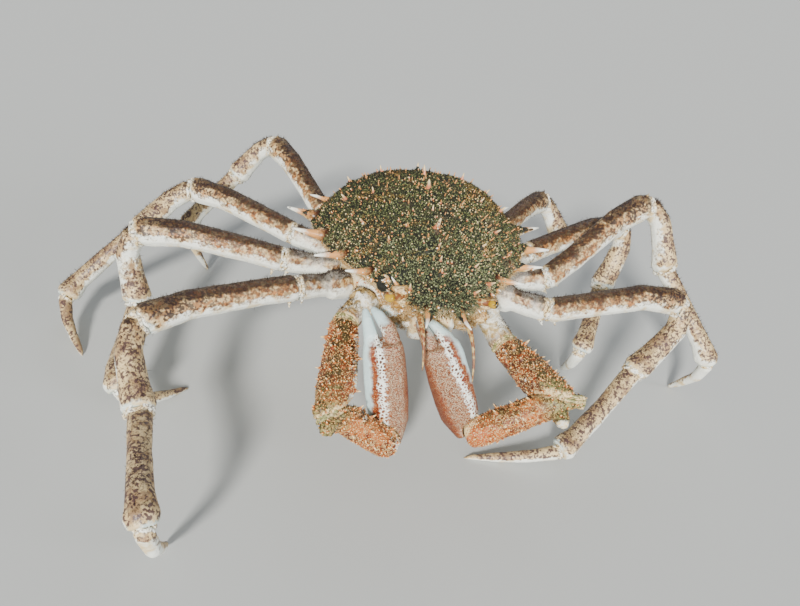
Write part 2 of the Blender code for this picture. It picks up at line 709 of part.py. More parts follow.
def settle(objects):
    """Puts the bottom centre of the whole crab's box at the origin and turns millimetres into metres."""
    corners = np.array([v.co for item in objects for v in item.data.vertices])
    low, high = corners.min(axis=0), corners.max(axis=0)
    shift = Vector((-(low[0] + high[0]) / 2, -(low[1] + high[1]) / 2, -low[2]))
    place = Matrix.Scale(METRES, 4) @ Matrix.Translation(shift)
    for item in objects:
        item.data.transform(place)
    return shift


def build():
    clear_scene()
    limbs = []
    bases = []
    for name, pose in LEG_POSES.items():
        side = -1 if name[0] == "r" else 1
        places = joints_of(side, root_place(side, name[1]), pose, lands=True)
        pieces = make_leg(name, LEG_SCALE[name[1]], places)
        limbs += list(pieces.values())
        bases.append(pieces["base"])
    for name, pose in CLAW_POSES.items():
        side = -1 if name == "r" else 1
        places = joints_of(side, root_place(side, "claw"), pose, lands=False)
        pieces = make_claw(name, side, places)
        limbs += list(pieces.values())
        bases.append(pieces["base"])
    face = []
    for name, side in (("r", -1), ("l", 1)):
        face.append(make_eye(f"eye_{name}", side))
        face.append(make_antenna(f"antenna_{name}", side))
        face.append(make_maxilliped(f"maxilliped_{name}", side))
    abdomen = make_abdomen()
    sternum = make_sternum(bases + face + [abdomen])
    carapace = make_carapace(bases + face + [abdomen, sternum])
    settle([carapace, sternum, abdomen] + face + limbs)


build()
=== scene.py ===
import math
import bpy
import numpy as np
from mathutils import Matrix, Vector
from mathutils.bvhtree import BVHTree


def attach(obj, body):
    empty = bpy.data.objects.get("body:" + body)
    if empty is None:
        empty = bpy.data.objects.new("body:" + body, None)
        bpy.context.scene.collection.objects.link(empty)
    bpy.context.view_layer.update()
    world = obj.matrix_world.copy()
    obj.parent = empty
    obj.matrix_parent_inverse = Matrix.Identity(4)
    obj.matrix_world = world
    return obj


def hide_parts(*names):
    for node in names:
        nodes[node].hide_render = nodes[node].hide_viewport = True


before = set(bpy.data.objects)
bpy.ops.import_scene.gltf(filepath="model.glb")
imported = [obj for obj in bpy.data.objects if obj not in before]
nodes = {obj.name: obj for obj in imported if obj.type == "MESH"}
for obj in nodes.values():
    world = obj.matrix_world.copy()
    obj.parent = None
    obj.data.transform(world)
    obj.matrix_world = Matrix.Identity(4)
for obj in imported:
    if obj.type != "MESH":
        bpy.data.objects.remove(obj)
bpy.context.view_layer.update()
print("frame loaded:", len(nodes), "nodes")

# where the photo was taken from, and the plain studio round the crab
cameraSettings = {"place": (-0.0873, -0.3719, 0.285), "azimuth": -12.3, "elevation": 30.2, "roll": -12.2,
                  "lens": 35.0, "sensor": 36.0, "near": 0.01, "far": 20}
pictureSize = (800, 606)
stageSettings = {"half": 9.0, "colour": (0.47, 0.48, 0.47, 1), "sky": (0.80, 0.84, 0.88, 1), "skyPower": 0.5,
                 "middle": (0, 0, 0.06)}
lightSettings = {
    "keyLight": {"place": (-0.34, -0.92, 0.50), "angle": 0.14, "power": 7.4, "colour": (1.0, 0.98, 0.93)},
    "fillLight": {"place": (0.8, -0.6, 0.35), "angle": 0.5, "power": 1.6, "colour": (0.93, 0.97, 1.0)},
    "backLight": {"place": (0.2, 0.9, 0.9), "angle": 0.5, "power": 0.35, "colour": (0.95, 0.98, 1.0)},
}

legNames = [side + number for side in "rl" for number in "1234"]
legParts = ["base", "merus", "carpus", "propodus", "dactylus"]
clawParts = ["base", "merus", "carpus", "palm", "finger"]
outwardSign = {"r": -1, "l": 1}
sunk = 0.0003  # how far tufts and knobs start below their skin
floorGap, tuftGap = 0.0001, 0.0002  # how high skins and tufts stay over the floor


# small tools for picking, reading and writing meshes
def deselectAll():
    if bpy.context.object and bpy.context.object.mode != "OBJECT":
        bpy.ops.object.mode_set(mode="OBJECT")
    bpy.ops.object.select_all(action="DESELECT")


def makeActive(piece):
    deselectAll()
    piece.select_set(True)
    bpy.context.view_layer.objects.active = piece


def readRows(items, key, kind=np.float32):
    flat = np.empty(len(items) * 3, dtype=kind)
    items.foreach_get(key, flat)
    return flat.reshape(-1, 3)


def readPoints(piece):
    return readRows(piece.data.vertices, "co").astype(np.float64)


def readNormals(piece):
    return readRows(piece.data.vertex_normals, "vector").astype(np.float64)


def readTriangles(piece):
    piece.data.calc_loop_triangles()
    return readRows(piece.data.loop_triangles, "vertices", np.int32)


def writeAttribute(piece, name, values):
    layer = piece.data.attributes.get(name)
    if layer is None:
        layer = piece.data.attributes.new(name, "FLOAT", "POINT")
    layer.data.foreach_set("value", np.asarray(values, dtype=np.float32))


def lengthsOf(rows):
    return np.linalg.norm(rows, axis=1)


def unitRows(rows):
    return rows / lengthsOf(rows)[:, None]


def unitOf(vector):
    return vector / np.linalg.norm(vector)


def applyStep(piece, kind, **values):
    makeActive(piece)
    step = piece.modifiers.new(kind.title(), kind)
    for key, value in values.items():
        setattr(step, key, value)
    bpy.ops.object.modifier_apply(modifier=step.name)


def copyNode(nodeName, pieceName):
    deselectAll()
    piece = bpy.data.objects.new(pieceName, nodes[nodeName].data.copy())
    bpy.context.scene.collection.objects.link(piece)
    piece.data.materials.clear()
    makeActive(piece)
    bpy.ops.object.mode_set(mode="EDIT")
    bpy.ops.mesh.select_all(action="SELECT")
    bpy.ops.mesh.remove_doubles(threshold=0.00001)
    bpy.ops.object.mode_set(mode="OBJECT")
    return piece


def refine(nodeName, settings, ending="_fine"):
    # a finer copy of a solid: rounded off, then uneven and pitted where its settings say so
    piece = copyNode(nodeName, nodeName + ending)
    applyStep(piece, "REMESH", mode="VOXEL", voxel_size=settings["voxel"], use_smooth_shade=True)
    applyStep(piece, "SMOOTH", factor=0.5, iterations=settings["rounds"])
    for key, kind in (("lumps", "CLOUDS"), ("pits", "VORONOI")):
        if key in settings:
            texture = bpy.data.textures.new(f"{piece.name}{kind.title()}", kind)
            texture.noise_scale, height = settings[key]
            applyStep(piece, "DISPLACE", texture=texture, texture_coords="LOCAL", strength=height, mid_level=0.5)
    return piece


def finishPiece(piece, slotName, finish, *nodeNames):
    piece.data.materials.append(materials[finish])
    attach(piece, "root")
    if nodeNames:
        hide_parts(*nodeNames)


# what the frame says about each node: its points, its triangles, its surface and its joints
cadPoints, cadTriangles, cadTrees = {}, {}, {}
for nodeName in sorted(nodes):
    copy = copyNode(nodeName, "measure")
    cadPoints[nodeName], cadTriangles[nodeName] = readPoints(copy), readTriangles(copy)
    cadTrees[nodeName] = BVHTree.FromPolygons(cadPoints[nodeName].tolist(), cadTriangles[nodeName].tolist())
    bpy.data.objects.remove(copy)


def facingRing(nodeName, otherName, reach=0.0017):
    tree, points = cadTrees[otherName], cadPoints[nodeName]
    return points[np.array([tree.find_nearest(Vector(point), reach)[0] is not None for point in points])]


def jointBetween(nameA, nameB):
    ring = np.vstack([facingRing(nameA, nameB), facingRing(nameB, nameA)])
    centre = ring.mean(axis=0)
    wide, narrow, axis = np.linalg.svd(ring - centre)[2]
    if axis @ (cadPoints[nameB].mean(axis=0) - cadPoints[nameA].mean(axis=0)) < 0:
        axis = -axis
    radii = [math.sqrt(2) * ((ring - centre) @ way).std() for way in (wide, narrow)]
    return {"centre": centre, "axis": axis, "wide": wide, "narrow": narrow, "radii": radii,
            "radius": lengthsOf(ring - centre).mean()}


limbs = {"leg_" + name: [f"leg_{name}_{part}" for part in legParts] for name in legNames}
limbs.update({"claw_" + side: [f"claw_{side}_{part}" for part in clawParts] for side in "rl"})
joints = {}
for members in limbs.values():
    for before, after in zip(members[:-1], members[1:]):
        joints[after] = jointBetween(before, after)
shellLow, shellHigh = cadPoints["carapace"].min(axis=0), cadPoints["carapace"].max(axis=0)
print("joints measured:", len(joints))


def limbEnds(members, index):
    # the two ends of one limb piece, from its joints
    start = joints[members[index]]["centre"] if index else None
    end = joints[members[index + 1]]["centre"] if index + 1 < len(members) else None
    points = cadPoints[members[index]]
    if start is None:
        start = points[np.argmax(lengthsOf(points - end))]
    if end is None:
        end = points[np.argmax(lengthsOf(points - start))]
    return start, end


# the camera's own directions, and what it sees at a place in the picture
seenReach = pictureSize[0] * cameraSettings["lens"] / cameraSettings["sensor"]


def cameraFrame():
    azimuth, elevation, roll = (math.radians(cameraSettings[key]) for key in ("azimuth", "elevation", "roll"))
    ahead = Vector((-math.sin(azimuth) * math.cos(elevation), math.cos(azimuth) * math.cos(elevation),
                    -math.sin(elevation)))
    level = ahead.cross(Vector((0, 0, 1))).normalized()
    up = level.cross(ahead) * math.cos(roll) + level * math.sin(roll)
    return Vector(cameraSettings["place"]), ahead.cross(up), up, ahead


def seenPoint(across, down):
    # where the line of sight through a place in the picture meets the shell
    place, right, up, ahead = cameraFrame()
    way = ahead + right * ((across - pictureSize[0] / 2) / seenReach)
    way += up * ((pictureSize[1] / 2 - down) / seenReach)
    return cadTrees["carapace"].ray_cast(place, way.normalized())[0]


palette = {
    "white": (0.88, 0.89, 0.83), "blueWhite": (0.64, 0.76, 0.76), "cream": (0.78, 0.65, 0.42),
    "paleOrange": (0.68, 0.40, 0.18), "orange": (0.48, 0.17, 0.045), "rust": (0.26, 0.065, 0.022),
    "brown": (0.13, 0.055, 0.03), "olive": (0.12, 0.115, 0.045), "darkOlive": (0.022, 0.024, 0.012),
    "paleGreen": (0.38, 0.37, 0.18), "pink": (0.66, 0.31, 0.18), "grey": (0.56, 0.46, 0.34),
    "amber": (0.52, 0.36, 0.02), "ink": (0.012, 0.008, 0.02), "ochre": (0.225, 0.25, 0.105),
    "moss": (0.045, 0.050, 0.022), "tan": (0.46, 0.29, 0.14), "ginger": (0.30, 0.13, 0.045),
    "yellow": (0.60, 0.47, 0.24), "apricot": (0.56, 0.25, 0.08), "gold": (0.48, 0.29, 0.075),
    "lichen": (0.36, 0.39, 0.24), "umber": (0.060, 0.030, 0.026), "sienna": (0.39, 0.150, 0.045),
    "chestnut": (0.22, 0.090, 0.045), "mauve": (0.33, 0.22, 0.17), "plum": (0.135, 0.080, 0.085),
}
depth = 1.45
palette = {name: (*(part ** depth for part in colour), 1) for name, colour in palette.items()}


# node helpers for the finishes; a colour may be given by its name in the palette
class Finish:
    def __init__(self, name, roughness, **sockets):
        self.material = bpy.data.materials.new(name)
        self.material.use_nodes = True
        self.tree = self.material.node_tree
        self.shader = self.tree.nodes["Principled BSDF"]
        self.shader.inputs["Roughness"].default_value = roughness
        for key, value in sockets.items():
            self.shader.inputs[key.replace("_", " ")].default_value = value
        self.place = self.tree.nodes.new("ShaderNodeTexCoord").outputs["Object"]

    def add(self, kind, **values):
        node = self.tree.nodes.new("ShaderNode" + kind)
        for key, value in values.items():
            setattr(node, key, value)
        return node

    def plug(self, socket, value):
        if hasattr(value, "is_output"):
            self.tree.links.new(value, socket)
        else:
            socket.default_value = palette[value] if isinstance(value, str) else value

    def fill(self, node, **values):
        for key, value in values.items():
            self.plug(node.inputs[key.replace("_", " ")], value)
        return node

    def noise(self, scale, detail=4.0, distortion=0.0):
        node = self.fill(self.add("TexNoise"), Vector=self.place, Scale=scale, Detail=detail, Distortion=distortion)
        return node.outputs["Fac"]

    def cells(self, scale, feature="F1"):
        return self.fill(self.add("TexVoronoi", feature=feature), Vector=self.place, Scale=scale).outputs["Distance"]

    def attribute(self, name):
        return self.add("Attribute", attribute_name=name).outputs["Fac"]

    def sums(self, operation, first, second=0.5):
        node = self.add("Math", operation=operation)
        self.plug(node.inputs[0], first)
        self.plug(node.inputs[1], second)
        return node.outputs[0]

    def times(self, first, second):
        return self.sums("MULTIPLY", first, second)

    def apart(self, value, middle):
        return self.sums("ABSOLUTE", self.sums("SUBTRACT", value, middle))

    def shifted(self, value, *pairs):
        # the value made uneven by each noise round its middle, by the amount that follows it
        for noise, amount in zip(pairs[::2], pairs[1::2]):
            value = self.sums("ADD", value, self.times(self.sums("SUBTRACT", noise, 0.5), amount))
        return value

    def ramp(self, value, low, high, start=0.0, end=1.0):
        node = self.add("MapRange", interpolation_type="SMOOTHSTEP")
        return self.fill(node, Value=value, From_Min=low, From_Max=high, To_Min=start, To_Max=end).outputs["Result"]

    def blend(self, share, first, second):
        node = self.add("Mix", data_type="RGBA")
        for index, value in ((0, share), (6, first), (7, second)):
            self.plug(node.inputs[index], value)
        return node.outputs[2]

    def over(self, base, colour, value, low, high, start=0.0, end=1.0):
        # a colour laid over the base as the value climbs from low to high
        return self.blend(self.ramp(value, low, high, start, end), base, colour)

    def bump(self, height, distance, strength=1.0):
        node = self.fill(self.add("Bump"), Strength=strength, Distance=distance, Height=height)
        before = self.shader.inputs["Normal"].links
        if before:
            self.plug(node.inputs["Normal"], before[0].from_socket)
        self.plug(self.shader.inputs["Normal"], node.outputs["Normal"])

    def colour(self, value):
        self.plug(self.shader.inputs["Base Color"], value)


def legFinish():
    skin = Finish("legShell", 0.42, Specular_IOR_Level=0.45)
    top, along, rim = skin.attribute("top"), skin.attribute("along"), skin.attribute("rim")
    patchy, speck, fine = skin.noise(110, 4, 0.5), skin.noise(560, 5, 0.6), skin.noise(1500, 3)
    level = skin.shifted(top, patchy, 0.4, speck, 0.35)
    # white below, ruddy above, with a dark crest along the top
    below = skin.over("white", "cream", patchy, 0.48, 0.7)
    ruddy = skin.over("tan", "ginger", speck, 0.40, 0.62, 0.0, 0.65)
    ruddy = skin.over(ruddy, "apricot", patchy, 0.5, 0.62, 0.0, 0.4)
    ruddy = skin.over(ruddy, "cream", skin.noise(330, 4, 0.5), 0.44, 0.60, 0.0, 0.65)
    straw = skin.over("cream", "yellow", patchy, 0.45, 0.6, 0.0, 0.7)
    ruddy = skin.over(ruddy, straw, along, 0.3, 0.5, 0.0, 0.7)
    blush = skin.times(skin.ramp(skin.shifted(patchy, speck, 0.5), 0.48, 0.62), skin.ramp(along, 0.36, 0.5))
    ruddy = skin.blend(skin.times(blush, 0.6), ruddy, "mauve")
    ridge = skin.over("moss", "brown", fine, 0.42, 0.58)
    shell = skin.over(below, ruddy, level, 0.46, 0.60)
    crest = skin.times(skin.ramp(level, 0.74, 0.92, 0.0, 0.9), skin.ramp(along, 0.36, 0.44, 1.0, 0.3))
    shell = skin.blend(crest, shell, ridge)
    # dark dots, larger and more purple towards the foot
    dots = skin.shifted(skin.noise(720, 3, 0.3), skin.noise(260, 3, 0.4), 0.7)
    dots = skin.sums("SUBTRACT", dots, skin.ramp(along, 0.35, 0.6, 0.0, 0.03))
    dots = skin.times(skin.ramp(dots, 0.47, 0.54), skin.ramp(level, 0.40, 0.60))
    dots = skin.times(dots, skin.ramp(along, 0.24, 0.38, 0.5, 0.92))
    shell = skin.blend(dots, shell, skin.over("umber", "plum", along, 0.36, 0.5))
    # white patches near the body, and pale rims at the joints
    near = skin.times(skin.ramp(along, 0.15, 0.21, 1.0, 0.0), skin.ramp(patchy, 0.4, 0.56))
    near = skin.times(near, skin.ramp(level, 0.6, 0.9, 0.8, 0.2))
    shell = skin.blend(near, shell, "white")
    pale = skin.over("blueWhite", "cream", patchy, 0.4, 0.6)
    skin.colour(skin.over(shell, pale, skin.shifted(rim, speck, 0.9, patchy, 1.0), 0.55, 0.85, 0.0, 0.8))
    skin.plug(skin.shader.inputs["Roughness"], skin.ramp(speck, 0.3, 0.7, 0.34, 0.6))
    skin.bump(skin.cells(900), 0.00025, 0.5)
    skin.bump(speck, 0.0006, 0.5)
    return skin.material


def armFinish():
    skin = Finish("armShell", 0.5, Specular_IOR_Level=0.4)
    top, rim, inner = skin.attribute("top"), skin.attribute("rim"), skin.attribute("inner")
    along, left = skin.attribute("along"), skin.attribute("left")
    patchy, speck, fine = skin.noise(130, 5, 0.7), skin.noise(620, 5, 0.5), skin.noise(1700, 3)
    # rust and orange, dim on the upper arm, brighter and gilt on the forearm
    red = skin.over("rust", "orange", speck, 0.34, 0.62)
    far = skin.ramp(along, 0.40, 0.46)
    # the left arm gets more brown: painted shade, darkening the arm on which the key light falls more
    dim = skin.sums("ADD", skin.shifted(patchy, speck, 0.4), skin.times(left, 0.11))
    red = skin.blend(skin.times(skin.ramp(dim, 0.45, 0.6), skin.ramp(far, 0, 1, 0.9, 0.65)), red, "brown")
    red = skin.blend(skin.times(skin.ramp(patchy, 0.54, 0.42, 0.0, 0.7), far), red, "apricot")
    gilt = skin.ramp(skin.shifted(speck, patchy, 0.5), 0.58, 0.66, 0.0, 0.6)
    red = skin.blend(skin.times(gilt, far), red, "yellow")
    hot = skin.ramp(skin.shifted(along, patchy, 0.06), 0.53, 0.57)
    red = skin.blend(skin.times(left, hot), red, "orange")
    red = skin.over(red, "cream", skin.shifted(fine, speck, 0.6), 0.56, 0.68, 0, 0.9)
    red = skin.over(red, "olive", skin.shifted(top, patchy, 0.8, fine, 0.5), 0.8, 1.05, 0.0, 0.75)
    red = skin.over(red, "white", skin.shifted(inner, patchy, 1.3, speck, 0.4), 0.78, 0.9)
    # weed round the elbow, pale down at the root, cream rims and lobes
    share = skin.shifted(along, patchy, 0.1)
    weed = skin.over("olive", "paleGreen", speck, 0.4, 0.6)
    red = skin.over(red, weed, skin.apart(share, 0.405), 0.01, 0.05, 0.8, 0.0)
    down = skin.over("yellow", "olive", speck, 0.46, 0.6)
    down = skin.over(down, "white", patchy, 0.44, 0.56, 0.0, 0.9)
    down = skin.over(down, "yellow", speck, 0.48, 0.60, 0.0, 0.6)
    red = skin.over(red, down, share, 0.13, 0.21, 0.85, 0.0)
    red = skin.over(red, "cream", skin.shifted(rim, speck, 0.8, patchy, 0.5), 0.55, 0.85)
    lobe = skin.shifted(skin.attribute("lobe"), speck, 0.9, patchy, 0.6)
    rind = skin.over("white", "cream", speck, 0.42, 0.6)
    skin.colour(skin.over(red, rind, lobe, 0.55, 1.0, 0.0, 0.9))
    skin.bump(skin.cells(650), 0.0005, 0.7)
    skin.bump(speck, 0.0005, 0.5)
    return skin.material


def palmFinish():
    skin = Finish("palmShell", 0.4, Specular_IOR_Level=0.5)
    across, along = skin.attribute("across"), skin.attribute("along")
    speck, wavy, cell = skin.noise(700, 5, 0.5), skin.noise(160, 4, 0.4), skin.cells(1900)
    side = skin.shifted(across, wavy, 0.45)
    ground = skin.over("rust", "sienna", speck, 0.4, 0.6)
    ground = skin.over(ground, "cream", skin.cells(1300), 0.18, 0.36, 0.6, 0.0)
    middle = skin.over("grey", "chestnut", cell, 0.36, 0.66)
    middle = skin.over(middle, "sienna", speck, 0.46, 0.64, 0.0, 0.6)
    shell = skin.over(middle, ground, skin.apart(side, 0.18), 0.28, 0.62)
    uneven = skin.shifted(side, speck, 0.5)
    shell = skin.over(shell, "chestnut", uneven, 0.6, 0.95, 0.0, 0.7)
    # the white net with its dark pits, and the pale outer edge and fingers
    band = skin.ramp(skin.apart(uneven, -0.42), 0.08, 0.24, 1.0, 0.0)
    pits = skin.times(band, skin.ramp(skin.shifted(along, wavy, 0.5), 0.45, 0.7, 0.3, 0.9))
    shell = skin.blend(pits, shell, "brown")
    mesh = skin.shifted(skin.cells(560, "DISTANCE_TO_EDGE"), speck, 0.25)
    shell = skin.blend(skin.times(band, skin.ramp(mesh, 0.12, 0.22, 1.0, 0.0)), shell, "white")
    shell = skin.over(shell, "blueWhite", side, -0.98, -0.78, 1.0, 0.0)
    reach = skin.sums("SUBTRACT", skin.shifted(along, wavy, 0.3), skin.times(across, 0.2))
    skin.colour(skin.over(shell, "blueWhite", reach, 1.0, 1.12))
    skin.bump(cell, 0.0003, 0.6)
    skin.bump(speck, 0.0003, 0.3)
    return skin.material


def shellFinish():
    skin = Finish("backShell", 0.72)
    patchy, speck = skin.noise(70, 6, 0.8), skin.noise(480, 5, 0.5)
    dark = skin.over("darkOlive", "moss", speck, 0.4, 0.62)
    back = skin.over(dark, skin.over("brown", "olive", speck, 0.4, 0.6), patchy, 0.5, 0.66, 0.0, 0.75)
    under = skin.over("cream", "gold", patchy, 0.4, 0.6)
    under = skin.over(under, "white", speck, 0.52, 0.66)
    under = skin.over(under, "umber", skin.noise(230, 4, 0.6), 0.52, 0.62, 0.0, 0.85)
    shell = skin.over(under, back, skin.shifted(skin.attribute("top"), patchy, 0.35), 0.42, 0.62)
    # dark olive in the hollow behind each eye: painted shade in the recess
    hollow = skin.shifted(skin.attribute("hollow"), speck, 0.5)
    skin.colour(skin.over(shell, "darkOlive", hollow, 0.3, 0.6))
    skin.bump(skin.cells(420), 0.0006, 0.8)
    skin.bump(speck, 0.0006, 0.6)
    return skin.material


def plateFinish():
    skin = Finish("underPlates", 0.5)
    patchy, speck = skin.noise(85, 5, 0.7), skin.noise(600, 5, 0.5)
    skin.colour(skin.over(skin.over("white", "cream", patchy, 0.42, 0.6), "orange", speck, 0.54, 0.68))
    skin.bump(skin.cells(800), 0.0003, 0.6)
    return skin.material


def spineFinish(name, root, middle, tip):
    skin = Finish(name, 0.38, Specular_IOR_Level=0.5)
    speck = skin.noise(900, 4, 0.4)
    level = skin.shifted(skin.attribute("tip"), speck, 0.35)
    skin.colour(skin.over(skin.over(root, middle, level, 0.05, 0.4), tip, level, 0.5, 0.85))
    skin.bump(speck, 0.0003, 0.4)
    return skin.material


def tuftFinish(name, root, tip, roughness=0.8, tinted=False):
    # a tinted one turns golden or mauve in places, and paler where the shade is low; the shade is random for each
    # tuft plus the shell's painted shade, so the paler snout is painted light and the darker rear is painted shade
    skin = Finish(name, roughness)
    height, shade = skin.attribute("tip"), skin.attribute("shade")
    end = tip
    if tinted:
        patchy = skin.noise(55, 3, 0.6)
        end = skin.over(end, "gold", patchy, 0.54, 0.66, 0.0, 0.6)
        end = skin.over(end, "mauve", patchy, 0.44, 0.34, 0.0, 0.5)
        end = skin.over(end, "lichen", shade, -0.35, 0.4, 0.95, 0.0)
    skin.colour(skin.over(skin.over(root, end, height, 0.1, 0.9), root, shade, 0.55, 1.1, 0.0, 0.92))
    return skin.material


def jointFinish(name, first, second, third):
    skin = Finish(name, 0.55)
    patchy, fine = skin.noise(260, 4, 0.6), skin.noise(1100, 3)
    skin.colour(skin.over(skin.over(first, second, patchy, 0.4, 0.62), third, fine, 0.48, 0.62, 0, 0.8))
    skin.bump(fine, 0.0003, 0.5)
    return skin.material


def feelerFinish():
    skin = Finish("feelerSkin", 0.5)
    speck = skin.noise(500, 4)
    skin.colour(skin.over("ginger", "yellow", speck, 0.45, 0.62))
    skin.bump(speck, 0.0003, 0.5)
    return skin.material


def eyeFinish():
    skin = Finish("eyeGloss", 0.06, Coat_Weight=1.0, Coat_Roughness=0.03)
    skin.colour(skin.over("amber", "ink", skin.noise(260, 2, 0.3), 0.5, 0.62))
    skin.bump(skin.cells(4200), 0.00006, 0.4)
    return skin.material


spineColours = {
    "bigSpine": ("brown", "paleOrange", "white"), "pinkSpine": ("brown", "pink", "cream"),
    "dullSpine": ("moss", "tan", "paleOrange"), "armSpine": ("rust", "apricot", "cream"),
    "armBead": ("chestnut", "apricot", "yellow"),
}
tuftColours = {
    "darkAlgae": ("darkOlive", "moss"), "oliveAlgae": ("darkOlive", "olive", 0.8, True),
    "paleAlgae": ("moss", "ochre", 0.8, True), "ochreBeads": ("olive", "ochre", 0.6, True),
    "creamBeads": ("ochre", "cream", 0.55), "rustBeads": ("brown", "paleOrange", 0.6),
    "legFuzz": ("darkOlive", "brown"), "faceHair": ("gold", "cream"),
}
jointColours = {
    "legRim": ("white", "cream", "brown"), "armRim": ("paleGreen", "cream", "olive"),
    "faceLobe": ("cream", "gold", "brown"), "whiteLobe": ("white", "blueWhite", "cream"),
}
materials = {"leg": legFinish(), "arm": armFinish(), "palm": palmFinish(), "shell": shellFinish(),
             "plate": plateFinish(), "feeler": feelerFinish(), "eye": eyeFinish()}
for make, colours in ((spineFinish, spineColours), (tuftFinish, tuftColours), (jointFinish, jointColours)):
    materials.update({name: make(name, *choice) for name, choice in colours.items()})
print("finishes made:", len(materials))


# refined pieces that take the place of the plain solids; lumps and pits are size and height
legSettings = {"voxel": 0.0008, "rounds": 9, "lumps": (0.012, 0.0007), "pits": (0.0022, -0.00022)}
armSettings = {"voxel": 0.0007, "rounds": 6, "lumps": (0.010, 0.0009), "pits": (0.0021, -0.0005)}
palmSettings = {"voxel": 0.0007, "rounds": 10, "lumps": (0.016, 0.0005), "pits": (0.0012, -0.00016)}
rimZone = {"along": 0.006, "aside": 0.008}
lobeZone = {"start": 0.0088, "depth": 0.005, "along": 0.012}
# less white on the left arm's inner faces: painted shade, as the key light falls on them
innerShare = {"r": 1.0, "l": 0.7}
palmPaint = {"reach": 0.0110, "turned": {"r": -0.3, "l": 0.0}}


def upness(piece):
    return np.clip(readNormals(piece)[:, 2] * 0.5 + 0.5, 0, 1)


def rimCloseness(points, index, members):
    close = np.zeros(len(points))
    for name in members[max(index, 1):index + 2]:
        joint = joints[name]
        offset = points - joint["centre"]
        near = lengthsOf(offset) < joint["radius"] + rimZone["aside"]
        close = np.maximum(close, np.clip(1 - np.abs(offset @ joint["axis"]) / rimZone["along"], 0, 1) * near)
    return close


def refineLimbPiece(members, index, settings, finish, slotName):
    nodeName = members[index]
    piece = refine(nodeName, settings)
    points = readPoints(piece)
    points[:, 2] = np.maximum(points[:, 2], floorGap)
    piece.data.vertices.foreach_set("co", points.astype(np.float32).ravel())
    piece.data.update()
    start, end = limbEnds(members, index)
    chord = end - start
    share = np.clip((points - start) @ chord / (chord @ chord), 0, 1)
    writeAttribute(piece, "top", upness(piece))
    writeAttribute(piece, "rim", rimCloseness(points, index, members))
    writeAttribute(piece, "along", (index + share) / len(members))
    finishPiece(piece, slotName, finish, nodeName)
    skins[nodeName] = piece
    return piece


def lobeShare(points, members, index):
    # one on the outer part of the elbow's lobes, which stand far from the carpus's own line
    if not members[index].endswith("carpus"):
        return np.zeros(len(points))
    start, end = limbEnds(members, index)
    chord = unitOf(end - start)
    along = (points - start) @ chord
    aside = lengthsOf(points - start - np.outer(along, chord))
    return np.clip((aside - lobeZone["start"]) / lobeZone["depth"], 0, 1) * (along < lobeZone["along"])


def paintPalm(side):
    # across runs from the pale outer edge to the inner one, along from the wrist to the fingers
    members = limbs["claw_" + side]
    wrist, knuckle = joints[members[3]]["centre"], joints[members[4]]["centre"]
    length = np.linalg.norm(knuckle - wrist)
    axis = (knuckle - wrist) / length
    outward = np.array([outwardSign[side], 0.0, 0.0])
    outward = unitOf(outward - axis * (outward @ axis))
    for name in members[3:]:
        offset = readPoints(skins[name]) - (wrist + knuckle) / 2
        across = palmPaint["turned"][side] - (offset @ outward) / palmPaint["reach"]
        writeAttribute(skins[name], "across", across)
        writeAttribute(skins[name], "along", (offset @ axis) / length + 0.5)


skins = {}
for legName in legNames:
    for index in range(len(legParts)):
        refineLimbPiece(limbs["leg_" + legName], index, legSettings, "leg", "leg")
for side in "rl":
    members = limbs["claw_" + side]
    for index in range(3):
        piece = refineLimbPiece(members, index, armSettings, "arm", "claw")
        medial = -outwardSign[side] * readNormals(piece)[:, 0]
        writeAttribute(piece, "inner", np.clip(medial, 0, 1) * innerShare[side])
        writeAttribute(piece, "lobe", lobeShare(readPoints(piece), members, index))
        # one on the left arm, which gets more brown there as painted shade, and an orange end to its carpus
        writeAttribute(piece, "left", np.full(len(medial), 1.0 if side == "l" else 0.0))
    for index in (3, 4):
        refineLimbPiece(members, index, palmSettings, "palm", "claw")
    paintPalm(side)
print("limbs refined:", len(skins))

shellSettings = {"voxel": 0.0010, "rounds": 7, "lumps": (0.014, 0.0016), "pits": (0.0042, -0.0009)}
plateSettings = {"voxel": 0.0007, "rounds": 4, "lumps": (0.006, 0.0007)}
hollowSettings = {"seen": (381, 287), "reach": 0.0062}
eyeSettings = {"voxel": 0.0004, "rounds": 4, "inset": 0.0022, "radius": 0.0027, "flat": 0.86}


def hollowShare(points):
    # one in the hollow behind each eye, where nothing grows and which is painted dark as painted shade
    share = np.zeros(len(points))
    spot = seenPoint(*hollowSettings["seen"])
    for middle in (spot, cadTrees["carapace"].find_nearest(Vector((-spot.x, spot.y, spot.z)))[0]):
        share = np.maximum(share, np.clip(1 - lengthsOf(points - np.array(middle)) / hollowSettings["reach"], 0, 1))
    return share


def refineBody():
    shell = refine("carapace", shellSettings)
    writeAttribute(shell, "top", upness(shell))
    writeAttribute(shell, "hollow", hollowShare(readPoints(shell)))
    finishPiece(shell, "shell", "shell", "carapace")
    skins["carapace"] = shell
    for nodeName in ("sternum", "abdomen", "maxilliped_r", "maxilliped_l"):
        finishPiece(refine(nodeName, plateSettings), "under_shell", "plate", nodeName)
    for nodeName in ("antenna_r", "antenna_l"):
        feeler = copyNode(nodeName, nodeName + "_fine")
        applyStep(feeler, "SUBSURF", levels=2, render_levels=2)
        finishPiece(feeler, "feeler", "feeler", nodeName)


